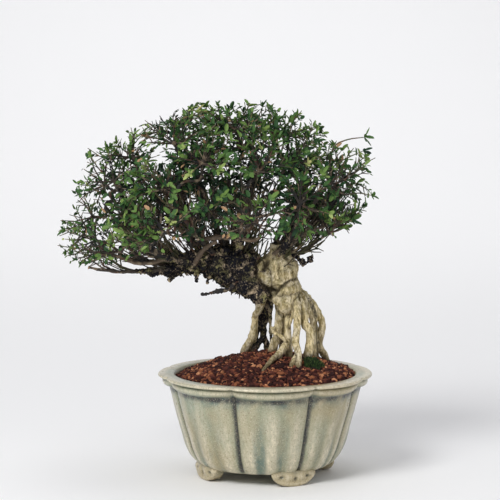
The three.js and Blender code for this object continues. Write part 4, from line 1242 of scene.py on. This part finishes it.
def skin_values(points, tones):
    """How pale the bark is at each corner, led by the nearest limbs, and how near a seam of two limbs is."""
    capsules, values, firsts = [], [], []
    for tone, rows in tones:
        pieces = capsules_of(rows)
        firsts.append(len(capsules))
        capsules += pieces
        values += [tone] * len(pieces)
    limb_count = len(capsules)
    for tone, (x, y, z, radius) in KNOBS:
        centre = np.array([x, y, z])
        capsules.append((centre, centre + np.array([0, 0, 0.01]), radius))
        values.append(tone)
    shapes = Capsules(capsules)
    values = np.array(values)
    pale, seam = np.empty(len(points)), np.empty(len(points))
    for start in range(0, len(points), POINTS_AT_ONCE):
        block = slice(start, start + POINTS_AT_ONCE)
        gaps = shapes.distances(points[block])
        weights = np.exp(-(gaps - gaps.min(axis=1, keepdims=True)) / 0.9)
        pale[block] = weights @ values / weights.sum(axis=1)
        nearest = np.partition(np.minimum.reduceat(gaps[:, :limb_count], firsts, axis=1), 1, axis=1)
        seam[block] = bell(nearest[:, 1], nearest[:, 0], 0.55) * smooth_step(3, 1, nearest[:, 1])
    return head_edge(points, pale), seam


def head_edge(points, pale):
    """Dark trunk bark up to a ragged line, and the cream head and roots to the right of it and below."""
    x, z = points[:, 0] + 1.5 * rough(points, 0.25, 2), points[:, 2]
    edge = np.interp(z, [121, 128, 134, 140, 148, 160], [-18, -6, 5, 4, -4, -5.5])
    side = smooth_step(-1.6, 1.6, x - edge)
    stub = smooth_step(0.4, 1.6, Capsules(capsules_of(STUBS[-1][1:])).distances(points).min(axis=1))
    cream = side * (z > 140) * smooth_step(170, 164, z) * stub
    return np.maximum(np.where(z > 121, pale * side, pale), cream)


def fold_values(points):
    """Depth of the folds in the head's front, and the painted shade in them."""
    depth, dark = np.zeros(len(points)), np.zeros(len(points))
    front = smooth_step(2, -4, points[:, 1])
    flat = points[:, [0, 2]]
    for fold_depth, width, line in FOLDS:
        nearest = np.full(len(points), 1e9)
        for start, end in zip(np.array(line[:-1], float), np.array(line[1:], float)):
            span = end - start
            along = np.clip((flat - start) @ span / (span @ span), 0, 1)
            nearest = np.minimum(nearest, np.linalg.norm(flat - start - along[:, None] * span, axis=1))
        hollow = bell(nearest, 0, width) * front
        depth = np.maximum(depth, hollow * fold_depth)
        # Painted shade in the folds, darker for the deeper ones.
        dark = np.maximum(dark, hollow * min(1, (fold_depth / 1.8) ** 1.6))
    return depth, dark


def make_rootstock(bark):
    """Roots, head, trunk and the foot of each limb, grown into one skin."""
    draw = random_draw(ROOT_SEED)
    limbs = []
    for tone, rows in ROOTS + BACK_ROOTS:
        slim = [(x, y, z, radius * 0.8) for x, y, z, radius in rows]
        limbs.append(LimbLine(slim).rows(4 * (len(rows) - 1)))
        limbs += strands_of(rows, 4 if rows[0][3] > 3 else 2, draw)
    for rows in (HEAD, TRUNK, STUMP, *STUBS):
        limbs.append(LimbLine(rows).rows(5 * (len(rows) - 1)))
    limbs += [LimbLine(rows).rows(24)[:9] for rows in LIMBS]
    skin = tubes("rootstock", limbs, 12)
    knobs = [knob_piece(place) for tone, place in KNOBS + trunk_warts(draw)]
    skin = join([skin, *knobs], "rootstock")
    fuse(skin, SKIN_VOXEL * MM, 0.5, 4)
    points, facing = coordinates(skin), normals(skin)
    pale, seam = skin_values(points, wood_tones())
    depth, dark = fold_values(points)
    broad = rough(points, 0.11, 3)
    coarse = rough(points, 0.34, 4)
    fibres = rough(points, 0.5, 3, (1, 1, 0.25))
    ridged = 1 - np.abs(rough(points + 40, 0.2, 3))
    fine = rough(points + 90, 0.75, 2)
    rings = np.sin(points[:, 2] * 1.1 + 5 * rough(points, 0.07, 2)) * smooth_step(132, 122, points[:, 2])
    smoother = 0.7 * broad + 0.35 * fibres + 0.25 * coarse + 0.14 * rings
    rougher = 1.5 * broad + 1.5 * coarse + (ridged - 0.7) + 0.55 * fine
    amount = pale * smoother + (1 - pale) * rougher - 0.5 * seam
    thick = smooth_step(-1.5, 1.5, points[:, 2] - 131) * 0.6 + 0.4
    points += facing * (amount * thick - depth)[:, None]
    set_coordinates(skin, points)
    # High on the bark's bumps: painted light on them, and where the crust gathers.
    mark(skin, "bump_light_and_lichen", smooth_step(-0.5, 1.5, rougher))
    mark(skin, "pale", pale)
    mark(skin, "aged", smooth_step(118, 132, points[:, 2]) * 0.8 + 0.2)
    # Painted shade in the head's folds, in the low parts of the bark and in the seams between limbs.
    crease_shading = dark + smooth_step(0.3, 0.7, -fibres) * 0.4 + smooth_step(0.25, 0.7, -broad) * 0.3 + 0.8 * seam
    mark(skin, "crease_shade", np.clip(crease_shading, 0, 1))
    above = points[:, 2] - soil_height(points[:, 0], points[:, 1])
    # Darker brown on the roots just above the soil.
    mark(skin, "soil_line_dark", smooth_step(7, 0, above + 2 * coarse))
    smooth(skin)
    seat(skin, bark, "tree_wood")


def bare_twigs(draw):
    """Short leafless twigs that fill the crown's shaded inside, just over the trunk."""
    lines = [LimbLine(rows) for rows in LIMBS] + [LimbLine(TRUNK)] * 3
    twigs = []
    while len(twigs) < BARE_TWIGS * 3:
        line = lines[int(draw() * len(lines))]
        part = draw(0.02, 0.75)
        tangent, point = line.tangent(part), line.point(part)
        spread = np.array([draw(-1, 1), draw(-1, 1), draw(-0.5, 1)])
        fan = unit(point - CROWN_CENTRE + np.array([0, 0, 34]))
        direction = unit(0.25 * tangent + 0.9 * fan + 0.55 * spread)
        reach = draw(16, 50)
        end = point + reach * direction
        if crown_reach(end)[0] > 0.92 or end[2] > 232 or end[2] < 166:
            continue
        radius = draw(0.45, 0.95)
        rows = []
        for i in range(6):
            part = i / 5
            wander = scatter(draw) * (0.8 if 0 < i < 5 else 0)
            bow = math.sin(math.pi * part) * reach * 0.08
            place = point + part * reach * direction + wander + np.array([0, 0, -bow])
            rows.append((*place, radius * (1 - 0.45 * part)))
        twigs.append(rows)
        for fork in (2, 3):
            base = np.array(rows[fork][:3])
            side = unit(direction + 0.9 * scatter(draw))
            tip = base + draw(6, 15) * side
            middle = (base + tip) / 2 + scatter(draw)
            twigs.append([(*base, radius * 0.6), (*middle, radius * 0.5), (*tip, 0.28)])
    return twigs


def trunk_thorns(draw):
    """Short dead spikes along the trunk, most of them on its underside."""
    line = LimbLine(TRUNK)
    thorns = []
    for _ in range(THORNS):
        part = draw(0.06, 0.86)
        tangent, radius = line.tangent(part), line.radius(part)
        down = np.array([draw(-0.6, 0.6), draw(-1.2, 0.6), draw(-1.3, 0.5)])
        away = unit(down - np.dot(down, tangent) * tangent)
        root = line.point(part) + away * (radius - 1.5)
        tip = root + (away + 0.7 * tangent * draw(-1, 1)) * (draw(1.5, 4.5) + 1.5)
        middle = (root + tip) / 2 + scatter(draw, 0.6)
        thorns.append([(*root, 0.85), (*middle, 0.55), (*tip, 0.25)])
    return thorns


def make_limbs(bark, branches):
    """The limbs and the branches to each spur, knotted where side shoots once stood."""
    draw = random_draw(LIMB_SEED)
    limbs = []
    for rows in LIMBS + FRONT_TWIGS + [DEAD_TWIG] + branches:
        steps = 7 * (len(rows) - 1)
        knotted = []
        for *place, radius in LimbLine(rows).rows(steps):
            moved = place + scatter(draw, 0.35)
            knotted.append((*moved, radius * draw(0.84, 1.14) + (0.4 if draw() < 0.16 else 0)))
        limbs.append(knotted)
    first, last = len(LIMBS), len(LIMBS) + len(FRONT_TWIGS)
    wood = tubes("limbs", limbs[:first] + limbs[last:] + trunk_thorns(draw), 8)
    mark(wood, "tip", 0)
    fronts = tubes("front_twigs", limbs[first:last], 8)
    mark(fronts, "worn", 1)
    twigs = tubes("bare_twigs", bare_twigs(draw), 6)
    mark(twigs, "tip", 0.7 * smooth_step(0.05, 0.3, rough(coordinates(twigs), 0.05, 2)))
    piece = join([wood, fronts, twigs], "limbs")
    smooth(piece)
    seat(piece, bark, "tree_wood")


# Leaves

def leaflet_shape():
    """A lance-shaped leaflet, folded a little along its midrib and closed underneath."""
    deselect_all()
    bpy.ops.mesh.primitive_circle_add(vertices=8, radius=0.5, fill_type="TRIFAN")
    edit_all()
    bpy.ops.mesh.duplicate()
    bpy.ops.mesh.flip_normals()
    end_edit()
    points, faces = shape_of(bpy.context.object)
    if points[:, 0].max() < 0.49:
        points = points[:, [1, 0, 2]] * np.array([1, -1, 1])
    half = len(points) // 2
    middle = np.hypot(points[:, 0], points[:, 1]) < 0.05
    along = points[:, 0] + 0.5
    points[:, 0] = along ** 1.08
    points[:, 1] *= 1.12 - 0.16 * along
    points[:, 2] = 0.34 * np.abs(points[:, 1]) - 0.16 * along ** 2
    points[middle, 2] -= 0.02
    points[half:, 2] -= np.where(middle[half:], 0.12, 0)
    matching = {tuple(np.round(point, 4)): i for i, point in enumerate(points[:half]) if not middle[i]}
    merged = [matching.get(tuple(np.round(point, 4)), i) for i, point in enumerate(points)]
    kept = sorted(set(merged))
    order = {old: new for new, old in enumerate(kept)}
    return points[kept], [tuple(order[merged[i]] for i in face) for face in faces]


def leaf_places(base, pointing, facing, size, tone, draw):
    """One leaf: an end leaflet and two smaller side leaflets, or a single blade."""
    places = []
    fans = [(0, 1, 1.9)] if draw() < 0.3 else [(0, 1, 3), (0.7, 0.62, 0.4), (-0.7, 0.62, 0.4)]
    for swing, share, step in fans:
        frame_rows = frame_along(pointing, facing)
        turned = math.cos(swing) * frame_rows[0] + math.sin(swing) * frame_rows[1]
        droop = unit(turned + draw(-0.25, 0.1) * frame_rows[2])
        rows = frame_along(droop, unit(facing + 0.35 * scatter(draw)))
        length = LEAFLET_LENGTH * size * share * draw(0.85, 1.15)
        width = LEAFLET_WIDTH * size * (0.6 + 0.4 * share) * draw(0.85, 1.2)
        scaled = rows * np.array([[length], [width], [length * 0.5]])
        places.append((base + pointing * step * 0.6, scaled, float(np.clip(tone + draw(-0.08, 0.08), 0, 1))))
    return places


def dress_shoot(line, outward, draw):
    """Leaf pairs and short side twigs along one shoot."""
    twigs, leaves = [], []
    length = np.linalg.norm(line.points[-1] - line.points[0])
    count = max(2, int(length * 0.72 / NODE_SPACING))
    across = unit(np.cross(line.tangent(0.5), unit(scatter(draw))))
    for i in range(count + 1):
        part = 0.28 + 0.72 * i / count
        tangent, base = line.tangent(part), line.point(part)
        pair = unit(np.cross(tangent, across)) if i % 2 else across
        tone = 0.12 + 0.46 * draw() + (0.24 if draw() < 0.07 else 0)
        if i == count:
            facing = unit(outward + 0.4 * pair)
            leaves += leaf_places(base, tangent, facing, draw(0.9, 1.2), tone + 0.06, draw)
        for side in (-1, 1):
            if draw() < 0.18:
                continue
            pointing = unit(0.75 * tangent + side * pair * draw(0.7, 1.1) + 0.15 * outward)
            facing = unit(outward + 0.9 * tangent + 0.3 * np.array([draw(-1, 1), draw(-1, 1), draw(0, 1)]))
            if draw() < 0.4 and i < count:
                reach = draw(4, 11)
                end = base + pointing * reach
                twigs.append([(*base, 0.42), (*(base + pointing * reach * 0.5), 0.36), (*end, 0.26)])
                leaves += leaf_places(end, pointing, facing, draw(0.75, 1.05), tone, draw)
            else:
                leaves += leaf_places(base, pointing, facing, draw(0.65, 1.1), tone, draw)
    return twigs, leaves


def leafiness(points):
    """The share of leaves kept: few low in the middle, where bare twigs show, and airy at both ends."""
    x, z = points[:, 0], points[:, 2]
    low = bell(x, -18, 40) * smooth_step(218, 188, z)
    ends = 0.48 * smooth_step(-100, -132, x) + 0.3 * smooth_step(28, 62, x)
    return 0.97 - 0.66 * low - ends


def trimmed(places, draw):
    """Drops leaves past the crown's outline or where it is airy, and paints shade on the leaves deep in the
    crown and light on those near its outline.
    """
    if not places:
        return []
    tips = np.array([origin + rows[0] for origin, rows, tone in places])
    reach = crown_reach(tips)
    shoulder = bell(tips[:, 0], -78, 18) * (tips[:, 2] > 200)
    kept = (reach <= 1.04 - 0.07 * shoulder) & (tips[:, 2] > crown_floor(tips) - 5)
    kept &= np.array([draw() for _ in places]) < leafiness(tips)
    # Painted shade on leaves deep in the crown and painted light on those near its outline.
    crown_shading = 0.46 * np.clip(reach, 0, 1) ** 3 - 0.3
    tones = [1 if draw() < DRY_SHARE else min(tone + painted_shading, 0.95) for (_, _, tone), painted_shading in zip(places, crown_shading)]
    return [(origin, rows, tone) for (origin, rows, _), keep, tone in zip(places, kept, tones) if keep]


def nearest_spray(point, sprays):
    return min(sprays, key=lambda spray: np.linalg.norm(spray.hub - np.array(point)))


def make_spray(number, spray, sprays, blade, leaf_material, bark):
    draw = spray.draw
    foot, top = spray.spur - spray.heading, spray.hub + 2 * spray.heading
    stems, leaves = [[(*foot, 1), (*spray.hub, 1.5), (*top, 0.9)]], []
    for end in spray.ends:
        rows = spray.line(end)
        line = LimbLine(rows)
        wavy = [(*(place + scatter(draw, 0.3)), radius) for *place, radius in line.rows(6)]
        wavy[0] = rows[0]
        stems.append(wavy)
        twigs, made = dress_shoot(line, spray.outward, draw)
        stems += twigs
        leaves += made
    leaves = trimmed(leaves, draw)
    for whip in WHIPS:
        if spray is nearest_spray(whip[0][:3], sprays):
            line = LimbLine([(*spray.hub, 0.8), *whip])
            stems.append(line.rows(12))
            leaves += dress_shoot(line, spray.outward, draw)[1][-7:]
    name = f"spray_{number:02d}"
    stalks = tubes(name + "_stems", stems, 6)
    away = np.linalg.norm(coordinates(stalks) - spray.hub, axis=1)
    mark(stalks, "tip", smooth_step(14, 30, away) * 0.8)
    mark(stalks, "tone", 0.2)
    foliage = stamped(name + "_foliage", blade, leaves)
    mark(foliage, "tip", 1)
    stalks.data.materials.append(bark)
    foliage.data.materials.append(leaf_material)
    piece = join([foliage, stalks], name + "_leafy")
    smooth(piece, 40)
    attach(piece, "root")
    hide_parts(name)


# Studio

def make_floor():
    """A pale paper floor that sweeps up behind."""
    deselect_all()
    bpy.ops.mesh.primitive_plane_add(size=1)
    floor = bpy.context.object
    floor.name = "studio_floor"
    floor.scale = (*FLOOR_SIZE, 1)
    settle(floor)
    bpy.ops.object.mode_set(mode="EDIT")
    bpy.ops.mesh.select_all(action="DESELECT")
    bpy.ops.object.mode_set(mode="OBJECT")
    for edge in floor.data.edges:
        edge.select = all(floor.data.vertices[i].co.y > 0.49 * FLOOR_SIZE[1] for i in edge.vertices)
    bpy.ops.object.mode_set(mode="EDIT")
    bpy.ops.mesh.select_mode(type="EDGE")
    bpy.ops.mesh.extrude_edges_move(TRANSFORM_OT_translate={"value": (0, 0, BACKDROP_HEIGHT)})
    bpy.ops.mesh.select_all(action="SELECT")
    bpy.ops.mesh.bevel(offset=SWEEP, segments=16, affect="EDGES")
    end_edit()
    smooth(floor)
    paper = Finish("studio_paper")
    paper.give({"Base Color": (0.96, 0.96, 0.96), "Roughness": 0.9, "Specular IOR Level": 0.1})
    floor.data.materials.append(paper.material)


def put_up(name, data, place, turn):
    """Puts a light or a camera in the scene."""
    holder = bpy.data.objects.new(name, data)
    holder.location = place
    holder.rotation_euler = turn
    bpy.context.collection.objects.link(holder)
    return holder


def soft_light(name, place, size, power, turn):
    lamp = bpy.data.lights.new(name, "AREA")
    lamp.size = size
    lamp.energy = power
    put_up(name, lamp, place, turn)
    return lamp


def make_studio():
    """The floor, soft lights on the tree and the backdrop, a dim sky and the camera of the front view."""
    make_floor()
    for name, place, size, power in LIGHTS:
        aim = (LIGHTS_AIM - Vector(place)).to_track_quat("-Z", "Y").to_euler()
        soft_light(name, place, size, power, aim)
    backdrop_light = soft_light("backdrop_light", (0, 1.9, 1.7), 2.4, 8.9, (math.radians(12), 0, 0))
    backdrop_light.spread = math.radians(110)
    scene = bpy.context.scene
    scene.view_settings.view_transform = "Standard"
    scene.world = scene.world or bpy.data.worlds.new("studio")
    scene.world.use_nodes = True
    sky = next(entry for entry in scene.world.node_tree.nodes if entry.type == "BACKGROUND")
    sky.inputs["Color"].default_value = (0.95, 0.95, 1.0, 1)
    sky.inputs["Strength"].default_value = 0.34
    camera = bpy.data.cameras.new("front_camera")
    camera.sensor_width = 36
    camera.lens = CAMERA_LENS
    place = (POT_AXIS[0] + CAMERA_PLACE[0], *CAMERA_PLACE[1:])
    scene.camera = put_up("front_camera", camera, place, (math.radians(CAMERA_PITCH), 0, 0))


make_studio()
weather = weathered_group()
thick_wood = [rows for tone, rows in ROOTS] + [TRUNK, STUMP, DEAD_TWIG, *STUBS, *LIMBS]
limb_capsules = [capsule for rows in [HEAD, *thick_wood] for capsule in capsules_of(rows)]
spurs = spur_places(Capsules(limb_capsules))
branches = [branch_to(spur) for spur in spurs]
branch_capsules = [capsule for rows in branches for capsule in capsules_of(rows)[:-1]]
all_wood = Capsules(limb_capsules + branch_capsules)
root_capsules = Capsules([capsule for tone, rows in ROOTS + BACK_ROOTS for capsule in capsules_of(rows)])

make_pot(celadon_glaze(weather))
make_screen(screen_plastic(weather))
make_soil(baked_clay(weather), root_capsules)
make_moss(moss_green(weather), root_capsules)
make_rootstock(old_bark(weather))
young_bark = twig_bark(weather)
make_limbs(young_bark, branches)
leaf_material = leaf_green()
blade = leaflet_shape()
sprays = []
for index, (spur, branch) in enumerate(zip(spurs, branches)):
    others = [other for other in spurs if other is not spur]
    sprays.append(Spray(spur, branch, others, all_wood, index + 1))
for index, spray in enumerate(sprays):
    make_spray(index + 1, spray, sprays, blade, leaf_material, young_bark)
